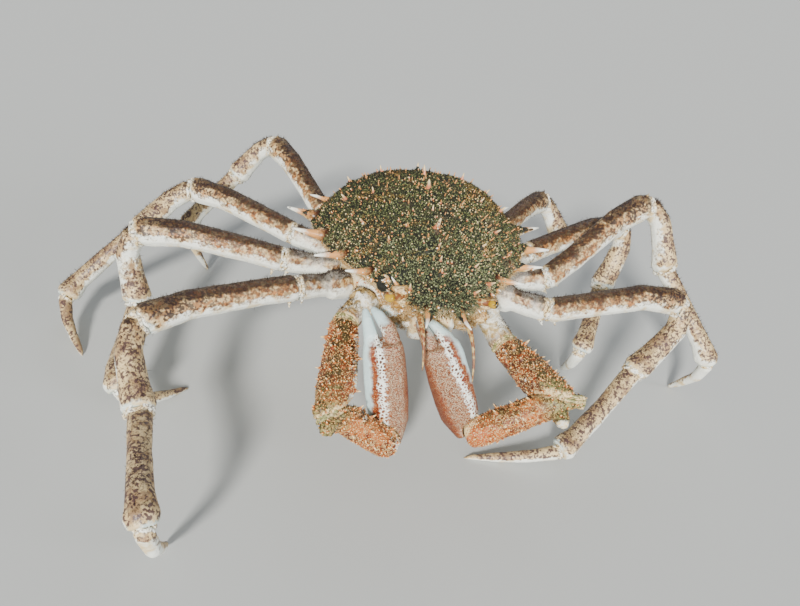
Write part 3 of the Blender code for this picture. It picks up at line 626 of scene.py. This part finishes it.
def makeEyes():
    # a dull stalk and a glossy ball for each
    for side in "rl":
        nodeName = "eye_" + side
        finishPiece(refine(nodeName, eyeSettings, "_stalk"), "eye", "feeler", nodeName)
        points = cadPoints[nodeName]
        reach = points[:, 0] * outwardSign[side] - points[:, 1]
        root, tip = points[np.argmin(reach)], points[np.argmax(reach)]
        deselectAll()
        bpy.ops.mesh.primitive_uv_sphere_add(segments=32, ring_count=20, radius=eyeSettings["radius"],
                                             location=tip - unitOf(tip - root) * eyeSettings["inset"])
        ball = bpy.context.object
        ball.name = nodeName + "_ball"
        bpy.ops.transform.resize(value=(1.0, 1.0, eyeSettings["flat"]))
        bpy.ops.object.transform_apply(location=True, rotation=True, scale=True)
        bpy.ops.object.shade_smooth()
        finishPiece(ball, "eye", "eye")


refineBody()
makeEyes()
print("body refined")


# small shapes are modelled once, then copied to each place
def modelShape(add, *cuts, **sizes):
    # one primitive, cut level at each height, as points and triangles
    deselectAll()
    add(**sizes)
    piece = bpy.context.object
    bpy.ops.object.transform_apply(location=True, rotation=True, scale=True)
    bpy.ops.object.mode_set(mode="EDIT")
    for height in cuts:
        bpy.ops.mesh.select_all(action="SELECT")
        bpy.ops.mesh.bisect(plane_co=(0, 0, height), plane_no=(0, 0, 1))
    bpy.ops.mesh.select_all(action="SELECT")
    bpy.ops.mesh.quads_convert_to_tris()
    bpy.ops.object.mode_set(mode="OBJECT")
    points, triangles = readPoints(piece), readTriangles(piece)
    bpy.data.objects.remove(piece)
    return points, triangles


def modelCone(sides, top, *cuts):
    # from a base of radius one to its top, one high
    return modelShape(bpy.ops.mesh.primitive_cone_add, *cuts, vertices=sides, radius1=1.0, radius2=top, depth=1.0,
                      location=(0, 0, 0.5))


def modelSpine(sides, cuts, flare):
    points, triangles = modelCone(sides, 0.10, *((i + 1) / (cuts + 1) for i in range(cuts)))
    pinch = 1 - flare * np.sin(np.clip(points[:, 2], 0, 1) * math.pi)
    points[:, :2] *= pinch[:, None]
    return points, triangles


def modelTuft():
    # a thin blade, widest at half its height
    points, triangles = modelCone(3, 0.0, 0.5)
    points[:, :2] *= np.where(np.abs(points[:, 2:3] - 0.5) < 0.01, 1.5, 1.0)
    return points, triangles


def modelBead():
    # a granule that stands on its skin
    points, triangles = modelShape(bpy.ops.mesh.primitive_ico_sphere_add, subdivisions=1, radius=1.0)
    points[:, 2] = points[:, 2] * 0.5 + 0.5
    return points, triangles


def modelBall(segments, rings):
    # its points and triangles are put in a fixed order, which a new sphere doesn't always have
    points, triangles = modelShape(bpy.ops.mesh.primitive_uv_sphere_add, segments=segments, ring_count=rings,
                                   radius=1.0)
    order = np.lexsort(np.round(points, 6).T)
    triangles = np.argsort(order)[triangles]
    turns = (np.argmin(triangles, axis=1)[:, None] + np.arange(3)) % 3
    triangles = np.take_along_axis(triangles, turns, axis=1)
    return points[order], triangles[np.lexsort(triangles.T)]


def copiesMesh(name, points, triangles, attributes):
    # one mesh from many posed copies, with a value of each attribute for every point
    mesh = bpy.data.meshes.new(name)
    count, size = points.shape[0], points.shape[1]
    corners = (triangles[None, :, :] + (np.arange(count) * size)[:, None, None]).reshape(-1)
    mesh.vertices.add(count * size)
    mesh.vertices.foreach_set("co", points.reshape(-1).astype(np.float32))
    mesh.loops.add(len(corners))
    mesh.loops.foreach_set("vertex_index", corners.astype(np.int32))
    mesh.polygons.add(len(corners) // 3)
    mesh.polygons.foreach_set("loop_start", np.arange(0, len(corners), 3, dtype=np.int32))
    mesh.polygons.foreach_set("use_smooth", np.ones(len(corners) // 3, dtype=bool))
    mesh.update(calc_edges=True)
    piece = bpy.data.objects.new(name, mesh)
    bpy.context.scene.collection.objects.link(piece)
    for key, values in attributes.items():
        writeAttribute(piece, key, values.reshape(-1))
    return piece, corners


def framesFor(directions, turns):
    # two side directions for each direction, turned about it
    helper = np.where(np.abs(directions[:, 2:3]) < 0.9, [[0.0, 0.0, 1.0]], [[1.0, 0.0, 0.0]])
    across = unitRows(np.cross(directions, helper))
    other = np.cross(directions, across)
    cosine, sine = np.cos(turns)[:, None], np.sin(turns)[:, None]
    return across * cosine + other * sine, other * cosine - across * sine


spineUnit, knobUnit = modelSpine(12, 4, 0.22), modelSpine(7, 1, 0.05)
tuftUnit, beadUnit = modelTuft(), modelBead()
fullTurn = 6.28
spineLean = 0.12


def placeSpines(name, roots, directions, lengths, radii, finish, slotName, unit, seed):
    draw = np.random.default_rng(seed)
    shape, triangles = unit
    across, other = framesFor(directions, draw.uniform(0, fullTurn, len(roots)))
    lean = draw.uniform(-spineLean, spineLean, (len(roots), 1, 2)) * (shape[None, :, 2:3] ** 2)
    wide, long = radii[:, None, None], lengths[:, None, None]
    points = (roots[:, None, :]
              + across[:, None, :] * (shape[None, :, 0:1] * wide + lean[:, :, 0:1] * long)
              + other[:, None, :] * (shape[None, :, 1:2] * wide + lean[:, :, 1:2] * long)
              + directions[:, None, :] * (shape[None, :, 2:3] * long))
    heights = np.repeat(shape[None, :, 2], len(roots), axis=0)
    piece, _ = copiesMesh(name, points, triangles, {"tip": heights})
    finishPiece(piece, slotName, finish)


def placeFound(name, found, longer, wider, finish, slotName, seed):
    # finer spines over those found on a solid
    tips, axes, lengths, radii = (np.array(part) for part in zip(*found))
    lengths = lengths + longer
    placeSpines(name, tips - axes * lengths[:, None], axes, lengths, radii * wider, finish, slotName, spineUnit, seed)


spineTest = {"sharp": 2.75, "links": 4, "shortest": 0.0022}


def cadSpines(nodeName):
    # tip, axis, length and radius of the solid's cones: points round which the faces close up sharply
    points, triangles = cadPoints[nodeName], cadTriangles[nodeName]
    total = np.zeros(len(points))
    links = [set() for _ in points]
    for turn in range(3):
        a, b, c = triangles[:, turn], triangles[:, (turn + 1) % 3], triangles[:, (turn + 2) % 3]
        u, v = points[b] - points[a], points[c] - points[a]
        cosine = (u * v).sum(1) / (lengthsOf(u) * lengthsOf(v) + 1e-12)
        np.add.at(total, a, np.arccos(np.clip(cosine, -1, 1)))
        for i, j, k in zip(a, b, c):
            links[i].update((j, k))
    found = []
    for i in np.where(total < spineTest["sharp"])[0]:
        around = points[sorted(links[i])]
        foot = around.mean(axis=0)
        axis = points[i] - foot
        length = np.linalg.norm(axis)
        if len(around) < spineTest["links"] or length < spineTest["shortest"]:
            continue
        axis /= length
        spread = around - foot
        radius = lengthsOf(spread - np.outer(spread @ axis, axis)).mean()
        if radius < length:
            found.append((points[i], axis, length, radius))
    return found


shellSpines = cadSpines("carapace")
print("spines found on the shell:", len(shellSpines))
backSpine = {"upright": 0.6, "large": 0.0042, "longer": 0.0022, "seed": 5}


def dressShellSpines():
    # the spines of the margin, the snout and the brows lean outwards, those of the back stand up
    margin, back, small = [], [], []
    for spine in shellSpines:
        large = spine[2] > backSpine["large"]
        (margin if spine[1][2] < backSpine["upright"] else back if large else small).append(spine)
    print("margin, large and small spines:", len(margin), len(back), len(small))
    for name, group, finish, wider in (("marginSpines", margin, "bigSpine", 1.3),
                                       ("backSpines", back, "pinkSpine", 1.15),
                                       ("smallSpines", small, "dullSpine", 1.0)):
        placeFound(name, group, backSpine["longer"], wider, finish, "shell", backSpine["seed"])


dressShellSpines()


# scattering over a skin, even by area, with a weight for each face
def scatter(piece, settings, weigh):
    count, draw = settings["count"], np.random.default_rng(settings["seed"])
    points, normals, triangles = readPoints(piece), readNormals(piece), readTriangles(piece)
    corners = points[triangles]
    first, second = corners[:, 1] - corners[:, 0], corners[:, 2] - corners[:, 0]
    facing = normals[triangles].mean(axis=1)
    chance = lengthsOf(np.cross(first, second)) * np.clip(weigh(corners.mean(axis=1), facing), 0, None)
    pick = draw.choice(len(triangles), count, p=chance / chance.sum())
    a, b = draw.random(count), draw.random(count)
    swap = a + b > 1
    a[swap], b[swap] = 1 - a[swap], 1 - b[swap]
    roots = corners[pick, 0] + first[pick] * a[:, None]
    return roots + second[pick] * b[:, None], unitRows(facing[pick]), draw


def clumpField(points, scale, seed):
    # smooth uneven values, from a few sine waves
    draw = np.random.default_rng(seed)
    waves = 7
    total = np.zeros(len(points))
    for _ in range(waves):
        way = draw.normal(size=3) * scale
        total += np.sin(points @ way + draw.uniform(0, fullTurn))
    return total / waves


def thinOut(roots, outs, step):
    # one of the places in each cube of the step's size
    keep = np.unique(np.floor(roots / step), axis=0, return_index=True)[1]
    return roots[keep], outs[keep]


chartSettings = {"margin": 1.1, "width": 0.46, "edge": 0.02, "under": 0.5, "patch": 0.0015}


def shellChart(roots, outs):
    # the shell laid flat: its back and its underside side by side
    span = (shellHigh - shellLow)[:2].max() * chartSettings["margin"]
    flat = (roots[:, :2] - shellLow[:2]) / span * chartSettings["width"] + chartSettings["edge"]
    flat[:, 0] += np.where(outs[:, 2] < 0, chartSettings["under"], 0.0)
    return flat


def growTufts(name, roots, outs, lengths, widths, spread, curl, finish, draw,
              slotName="shell", hang=0.0, unit=tuftUnit, paintedShade=0.0, chart=None):
    # spread and hang bend each one over; the shade offset given darkens it as painted shade, and pales it as painted
    # light where it is below nought; chart is its place on the unwrap of its skin
    shape, triangles = unit
    count = len(roots)
    ways = unitRows(outs + (draw.normal(size=(count, 3)) * spread + hang))
    across, other = framesFor(ways, draw.uniform(0, fullTurn, count))
    bend = draw.normal(size=(count, 3)) * curl
    level = shape[None, :, 2:3]
    wide, long = widths[:, None, None], lengths[:, None, None]
    points = (roots[:, None, :] - outs[:, None, :] * sunk
              + across[:, None, :] * shape[None, :, 0:1] * wide + other[:, None, :] * shape[None, :, 1:2] * wide
              + ways[:, None, :] * level * long + bend[:, None, :] * (level ** 2) * long)
    points[:, :, 2] = np.maximum(points[:, :, 2], tuftGap)
    heights = np.repeat(shape[None, :, 2], count, axis=0)
    shades = np.repeat((draw.random(count) + paintedShade)[:, None], len(shape), axis=1)
    piece, corners = copiesMesh(name, points, triangles, {"tip": heights, "shade": shades})
    layer = piece.data.uv_layers.new(name="OFBake")
    chart = shellChart(roots, outs) if chart is None else chart
    patch = chart[:, None, :] + shape[None, :, :2] * chartSettings["patch"]
    layer.data.foreach_set("uv", patch.reshape(-1, 2)[corners].astype(np.float32).ravel())
    finishPiece(piece, slotName, finish)


fringeSettings = {"start": -0.042, "depth": 0.016, "longer": 1.9, "hang": (0.0, -0.75, -0.85)}
# the shade offset from the snout to the rear of the shell: painted light at the snout, painted shade at the rear
paintedShadeSettings = {"share": [0.12, 0.35, 0.65, 0.95], "shade": [-0.9, -0.35, 0.1, 1.0]}
bareSettings = {"past": -0.001, "length": 0.75, "radius": 1.3, "hollow": 2.5}


def fringeShare(points):
    # nought on the back, one at the tip of the snout, where the algae hang over the front
    return np.clip((fringeSettings["start"] - points[:, 1]) / fringeSettings["depth"], 0, 1)


def paintedRearShade(points):
    # painted light and shade: paler at the snout, darker towards the rear edge, standing in for a flash whose light
    # falls off towards the rear
    share = (points[:, 1] - shellLow[1]) / (shellHigh[1] - shellLow[1])
    return np.interp(share, paintedShadeSettings["share"], paintedShadeSettings["shade"])


def clearOfSpines(points):
    # nought in the hollows and on the outer part of the large spines, which stay bare
    bare = np.ones(len(points))
    for tip, axis, length, radius in shellSpines:
        down = (tip - points) @ axis
        aside = lengthsOf(points - tip + np.outer(down, axis))
        beside = aside < radius * bareSettings["radius"]
        bare[(down > bareSettings["past"]) & (down < length * bareSettings["length"]) & beside] = 0
    return bare * np.clip(1 - hollowShare(points) * bareSettings["hollow"], 0, 1)


coatSettings = {
    "darkAlgae": {"count": 19500, "length": 0.0011, "width": 0.00021, "seed": 21},
    "oliveAlgae": {"count": 19500, "length": 0.0012, "width": 0.00020, "seed": 22},
    "paleAlgae": {"count": 9000, "length": 0.0013, "width": 0.00019, "seed": 23},
}


def coatShell():
    for name, settings in coatSettings.items():
        seed = settings["seed"]

        def weigh(middle, facing, seed=seed):
            lump = clumpField(middle, 260, seed) * 0.8 + clumpField(middle, 900, seed + 50) * 0.8
            upper = np.clip(facing[:, 2] * 1.6 - 0.2 + fringeShare(middle) * 0.9, 0, 1)
            return upper * np.clip(0.75 + lump, 0.08, 2.5) * clearOfSpines(middle)

        roots, outs, draw = scatter(skins["carapace"], settings, weigh)
        fringe = fringeShare(roots)
        lengths = settings["length"] * draw.uniform(0.5, 1.3, len(roots)) * (1 + fringe * fringeSettings["longer"])
        widths = settings["width"] * draw.uniform(0.7, 1.3, len(roots)) * (1 - 0.3 * fringe)
        growTufts(name, roots, outs, lengths, widths, 0.22, 0.3, name, draw,
                  hang=fringe[:, None] * np.array(fringeSettings["hang"]), paintedShade=paintedRearShade(roots))


beadSettings = {
    "ochreBeads": {"count": 15000, "apart": 0.00135, "radius": 0.00042, "clump": 300, "seed": 61},
    "creamBeads": {"count": 1500, "apart": 0.0018, "radius": 0.00042, "clump": 90, "seed": 62},
    "rustBeads": {"count": 850, "apart": 0.0018, "radius": 0.00050, "clump": 60, "seed": 63},
}
beadLimit = 9900


def beadShell():
    # pale granules between the algae, fewer towards the rear, where fewer pale granules add to the painted shade
    for name, settings in beadSettings.items():
        def weigh(middle, facing, seed=settings["seed"], clump=settings["clump"]):
            upper = np.clip(facing[:, 2] * 1.6 - 0.1, 0, 1) * (1 - 0.92 * np.clip(paintedRearShade(middle), 0, 1))
            return upper * np.clip(0.7 + 1.6 * clumpField(middle, clump, seed), 0.1, 2) * clearOfSpines(middle)

        roots, outs, draw = scatter(skins["carapace"], settings, weigh)
        roots, outs = thinOut(roots, outs, settings["apart"])
        roots, outs = roots[:beadLimit], outs[:beadLimit]
        widths = settings["radius"] * draw.uniform(0.6, 1.35, len(roots))
        lengths = widths * draw.uniform(1.5, 2.4, len(roots))
        growTufts(name, roots, outs, lengths, widths, 0.15, 0.0, name, draw, unit=beadUnit, paintedShade=paintedRearShade(roots))
        print(name, len(roots))


faceSettings = {"count": 9000, "length": 0.0019, "width": 0.00013, "seed": 27, "hang": (0, -0.1, -0.25)}


def hairFace():
    # cream and orange down on the face and under the margin
    def weigh(middle, facing):
        front = np.clip((0.035 - middle[:, 1]) / 0.05, 0.08, 1)
        return np.clip(0.75 - np.abs(facing[:, 2] + 0.1), 0, 1) * front * clearOfSpines(middle)

    roots, outs, draw = scatter(skins["carapace"], faceSettings, weigh)
    lengths = faceSettings["length"] * draw.uniform(0.4, 1.4, len(roots))
    widths = faceSettings["width"] * draw.uniform(0.7, 1.3, len(roots))
    growTufts("faceDown", roots, outs, lengths, widths, 0.4, 0.4, "faceHair", draw,
              hang=np.array(faceSettings["hang"]))


fuzzSettings = {"count": 500, "length": 0.0016, "width": 0.00010, "seed": 31}


def fuzzLegs():
    # dark down along the upper edges of the walking legs and of the claws' arms
    rows = [name for members in limbs.values() for name in members[:4] if "palm" not in name]
    gathered = []
    draw = np.random.default_rng(fuzzSettings["seed"])
    for row, name in enumerate(rows):
        roots, outs, _ = scatter(skins[name], {**fuzzSettings, "seed": fuzzSettings["seed"] + row},
                                 lambda middle, facing: np.clip(facing[:, 2] - 0.45, 0.0, 1) ** 1.5 + 0.004)
        # each piece has its own strip of the unwrap
        low, high = cadPoints[name].min(axis=0), cadPoints[name].max(axis=0)
        longest = np.argmax(high - low)
        share = (roots[:, longest] - low[longest]) / (high[longest] - low[longest])
        turn = np.arctan2(outs[:, 2], outs[:, (longest + 1) % 2]) / (2 * math.pi) + 0.5
        gathered.append((roots, outs, np.column_stack([0.02 + share * 0.96, (row + 0.1 + turn * 0.8) / len(rows)])))
    roots, outs, chart = (np.vstack(part) for part in zip(*gathered))
    lengths = fuzzSettings["length"] * draw.uniform(0.4, 1.3, len(roots))
    widths = fuzzSettings["width"] * draw.uniform(0.7, 1.4, len(roots))
    growTufts("legDown", roots, outs, lengths, widths, 0.3, 0.3, "legFuzz", draw, "leg", chart=chart)


coatShell()
beadShell()
hairFace()
fuzzLegs()
print("shell coated")


# a finer rim on both sides of each joint, and the knobs on which it turns
rimSettings = {"apart": 0.0011, "thick": 0.0008, "wave": 0.0005, "inset": 0.97, "seed": 41}
hingeSettings = {"radius": 0.0019, "inset": 0.94, "usual": 0.006}


def makeRims():
    shape, triangles = modelShape(bpy.ops.mesh.primitive_torus_add, major_segments=40, minor_segments=8,
                                  major_radius=1.0, minor_radius=0.1)
    ballShape, ballTriangles = modelBall(14, 10)
    draw = np.random.default_rng(rimSettings["seed"])
    thick = rimSettings["thick"]
    core = unitRows(shape[:, :2])
    tube = np.column_stack([shape[:, :2] - core, shape[:, 2]]) * 10
    angle = np.arctan2(core[:, 1], core[:, 0])
    reach = lengthsOf(tube[:, :2]) * np.sign((tube[:, :2] * core).sum(axis=1))
    for kind, finish in (("leg", "legRim"), ("claw", "armRim")):
        rims, knobs = [], []
        for name, joint in joints.items():
            if not name.startswith(kind) or name.endswith("finger") or name.endswith("palm"):
                continue
            narrow, radii = joint["narrow"], joint["radii"]
            a, b = (radius * rimSettings["inset"] + thick * reach for radius in radii)
            for end in (-1, 1):
                sway = np.sin(3 * angle + draw.uniform(0, 6)) + np.sin(5 * angle + draw.uniform(0, 6))
                lift = end * rimSettings["apart"] + rimSettings["wave"] * sway + thick * tube[:, 2] * 1.3
                rims.append(joint["centre"] + np.outer(core[:, 0] * a, joint["wide"])
                            + np.outer(core[:, 1] * b, narrow) + np.outer(lift, joint["axis"]))
            for end in (-1, 1):
                centre = joint["centre"] + end * narrow * radii[1] * hingeSettings["inset"]
                size = hingeSettings["radius"] * (0.8 + 0.4 * draw.random())
                knobs.append(centre + ballShape * size * (radii[1] / hingeSettings["usual"]) ** 0.5)
        for label, group, faces in (("Rims", rims, triangles), ("Knobs", knobs, ballTriangles)):
            piece, _ = copiesMesh(kind + label, np.array(group), faces, {})
            finishPiece(piece, kind, finish)


makeRims()
print("joints dressed")


# extra knobs and small spines on the claws' arms and the shell
def upperFront(middle, facing):
    return np.clip(facing[:, 2] * 0.6 - facing[:, 1] * 0.5 + 0.35, 0.05, 1)


def upperSide(middle, facing):
    return np.clip(facing[:, 2] * 1.5, 0, 1)


def frontEdge(middle, facing):
    return np.clip(0.6 - np.abs(facing[:, 2]), 0, 1) * (middle[:, 1] < 0)


armKnobs = {
    "armKnobs": {"count": 150, "apart": 0.002, "height": (0.0009, 0.0019), "radius": 0.55, "seed": 51,
                 "finish": "armSpine", "unit": knobUnit},
    "armBeads": {"count": 1500, "apart": 0.0012, "height": (0.0004, 0.0009), "radius": 0.5, "seed": 54,
                 "finish": "armBead", "unit": beadUnit},
}
shellKnobs = {
    "shellKnobs": {"count": 120, "height": (0.0012, 0.0022), "radius": 0.42, "seed": 52,
                   "finish": "pinkSpine", "unit": knobUnit, "weigh": upperSide},
    "faceKnobs": {"count": 150, "height": (0.0010, 0.0024), "radius": 0.55, "seed": 53,
                  "finish": "bigSpine", "unit": knobUnit, "weigh": frontEdge},
}
kneeSettings = {"under": (0.0, -0.35, -1.0), "backs": (-0.0035, 0.0045), "deep": 0.0052, "lean": 0.3,
                "length": 0.0048, "radius": 0.42}


def placeKnobs(name, roots, outs, draw, settings, slotName):
    heights = draw.uniform(*settings["height"], len(roots))
    placeSpines(name, roots - outs * sunk, outs, heights, heights * settings["radius"], settings["finish"], slotName,
                settings["unit"], settings["seed"])


def dressArms():
    # the solid's spines, knobs between them, and granules all over
    for side in "rl":
        for index in (1, 2):
            members = limbs["claw_" + side]
            name = members[index]
            found = cadSpines(name)
            print("spines found on", name, len(found))
            placeFound(name + "_spines", found, 0.001, 1.3, "armSpine", "claw", 7)
            for kind, settings in armKnobs.items():
                roots, outs, draw = scatter(skins[name], settings, upperFront)
                free = lobeShare(roots, members, index) < 0.5
                roots, outs = thinOut(roots[free], outs[free], settings["apart"])
                placeKnobs(name + kind, roots, outs, draw, settings, "claw")


def dressShell():
    for name, settings in shellKnobs.items():
        roots, outs, draw = scatter(skins["carapace"], settings, settings["weigh"])
        placeKnobs(name, roots, outs, draw, settings, "shell")


def makeKneeSpines():
    # the spines under the root of each front leg's merus
    roots, outs = [], []
    for legName in ("r1", "r2", "l1", "l2"):
        start, end = limbEnds(limbs["leg_" + legName], 1)
        ahead = unitOf(end - start)
        under = np.array(kneeSettings["under"])
        under = unitOf(under - ahead * (under @ ahead))
        for back in kneeSettings["backs"]:
            roots.append(start + ahead * back + under * kneeSettings["deep"])
            outs.append(under + ahead * kneeSettings["lean"])
    lengths = np.full(len(roots), kneeSettings["length"])
    placeSpines("kneeSpines", np.array(roots), unitRows(np.array(outs)), lengths, lengths * kneeSettings["radius"],
                "legRim", "leg", spineUnit, 6)


dressArms()
dressShell()
makeKneeSpines()
print("knobs placed")


# fleshy lobes of the face and the spines of the brow, each where the picture shows it
lobeSettings = {"seed": 71, "uneven": 0.22, "count": 1400, "length": 0.0013, "width": 0.00012}
faceLobes = {
    "whiteLobe": [{"seen": (389, 311), "size": (0.0050, 0.0032, 0.0026), "seed": 71},
                  {"seen": (402, 323), "size": (0.0080, 0.0022, 0.0024), "seed": 77}],
    "faceLobe": [{"seen": (404, 290), "size": (0.0056, 0.0022, 0.0022), "seed": 72},
                 {"seen": (404, 302), "size": (0.0060, 0.0028, 0.0024), "seed": 76},
                 {"seen": (418, 320), "size": (0.0034, 0.0050, 0.0024), "seed": 78},
                 {"seen": (484, 303), "size": (0.0060, 0.0034, 0.0026), "seed": 79},
                 {"seen": (480, 316), "size": (0.0050, 0.0040, 0.0026), "seed": 80}],
}
browSpines = [
    {"seen": (400, 289), "lean": (-9, 12), "radius": 0.0019},
    {"seen": (377, 275), "lean": (-2, 7), "radius": 0.0015},
]


def makeFaceLobes():
    # each lobe's size is across, up and ahead as the camera sees it
    shape, triangles = modelBall(22, 16)
    _, *ways = (np.array(way) for way in cameraFrame())
    for finish, lobes in faceLobes.items():
        group = []
        for lobe in lobes:
            clump = clumpField(shape * 3, 1.0, lobe["seed"])[:, None]
            a, b, c = (np.outer(shape[:, i] * lobe["size"][i], ways[i]) for i in range(3))
            uneven = 1 + lobeSettings["uneven"] * clump * 2
            group.append(np.array(seenPoint(*lobe["seen"])) + uneven * (a + b + c))
        piece, _ = copiesMesh(finish + "s", np.array(group), triangles, {})
        finishPiece(piece, "shell", finish)
        roots, outs, draw = scatter(piece, lobeSettings, lambda middle, facing: 1.0)
        growTufts(finish + "Down", roots, outs, lobeSettings["length"] * draw.uniform(0.4, 1.2, len(roots)),
                  np.full(len(roots), lobeSettings["width"]), 0.4, 0.3, "faceHair", draw)
        print(finish, len(group))


def makeBrowSpines():
    # the spines over the right eye, each with the lean the picture shows, in picture points
    place, right, up, ahead = cameraFrame()
    roots, ways = [], []
    for spine in browSpines:
        root = seenPoint(*spine["seen"])
        scale = (root - place).length / seenReach
        ways.append(np.array((right * spine["lean"][0] + up * spine["lean"][1]) * scale))
        roots.append(np.array(root + ahead * 0.001))
    placeSpines("browSpines", np.array(roots), unitRows(np.array(ways)), lengthsOf(ways),
                np.array([spine["radius"] for spine in browSpines]), "bigSpine", "shell", spineUnit, 8)


makeFaceLobes()
makeBrowSpines()
print("face dressed")


# the studio
def placeCamera():
    place, right, up, ahead = cameraFrame()
    bpy.ops.object.camera_add(location=place)
    camera = bpy.context.object
    camera.rotation_mode = "QUATERNION"
    camera.rotation_quaternion = Matrix((right, up, -ahead)).transposed().to_quaternion()
    camera.data.lens, camera.data.sensor_width = cameraSettings["lens"], cameraSettings["sensor"]
    camera.data.clip_start, camera.data.clip_end = cameraSettings["near"], cameraSettings["far"]
    bpy.context.scene.camera = camera


def addLight(name, settings):
    # an even light over the whole stage, from the direction of its place
    bpy.ops.object.light_add(type="SUN", location=settings["place"])
    light = bpy.context.object
    light.name = name
    light.data.angle, light.data.energy, light.data.color = settings["angle"], settings["power"], settings["colour"]
    light.rotation_mode = "QUATERNION"
    ahead = Vector(stageSettings["middle"]) - Vector(settings["place"])
    light.rotation_quaternion = ahead.to_track_quat("-Z", "Y")


def buildStage():
    deselectAll()
    bpy.ops.mesh.primitive_plane_add(size=2 * stageSettings["half"])
    floor = bpy.context.object
    floor.name = "floor"
    paint = Finish("floorPaint", 0.9)
    paint.colour(stageSettings["colour"])
    floor.data.materials.append(paint.material)
    world = bpy.data.worlds.new("studio")
    world.use_nodes = True
    world.node_tree.nodes["Background"].inputs[0].default_value = stageSettings["sky"]
    world.node_tree.nodes["Background"].inputs[1].default_value = stageSettings["skyPower"]
    bpy.context.scene.world = world
    for name, settings in lightSettings.items():
        addLight(name, settings)


placeCamera()
buildStage()
print("studio ready")
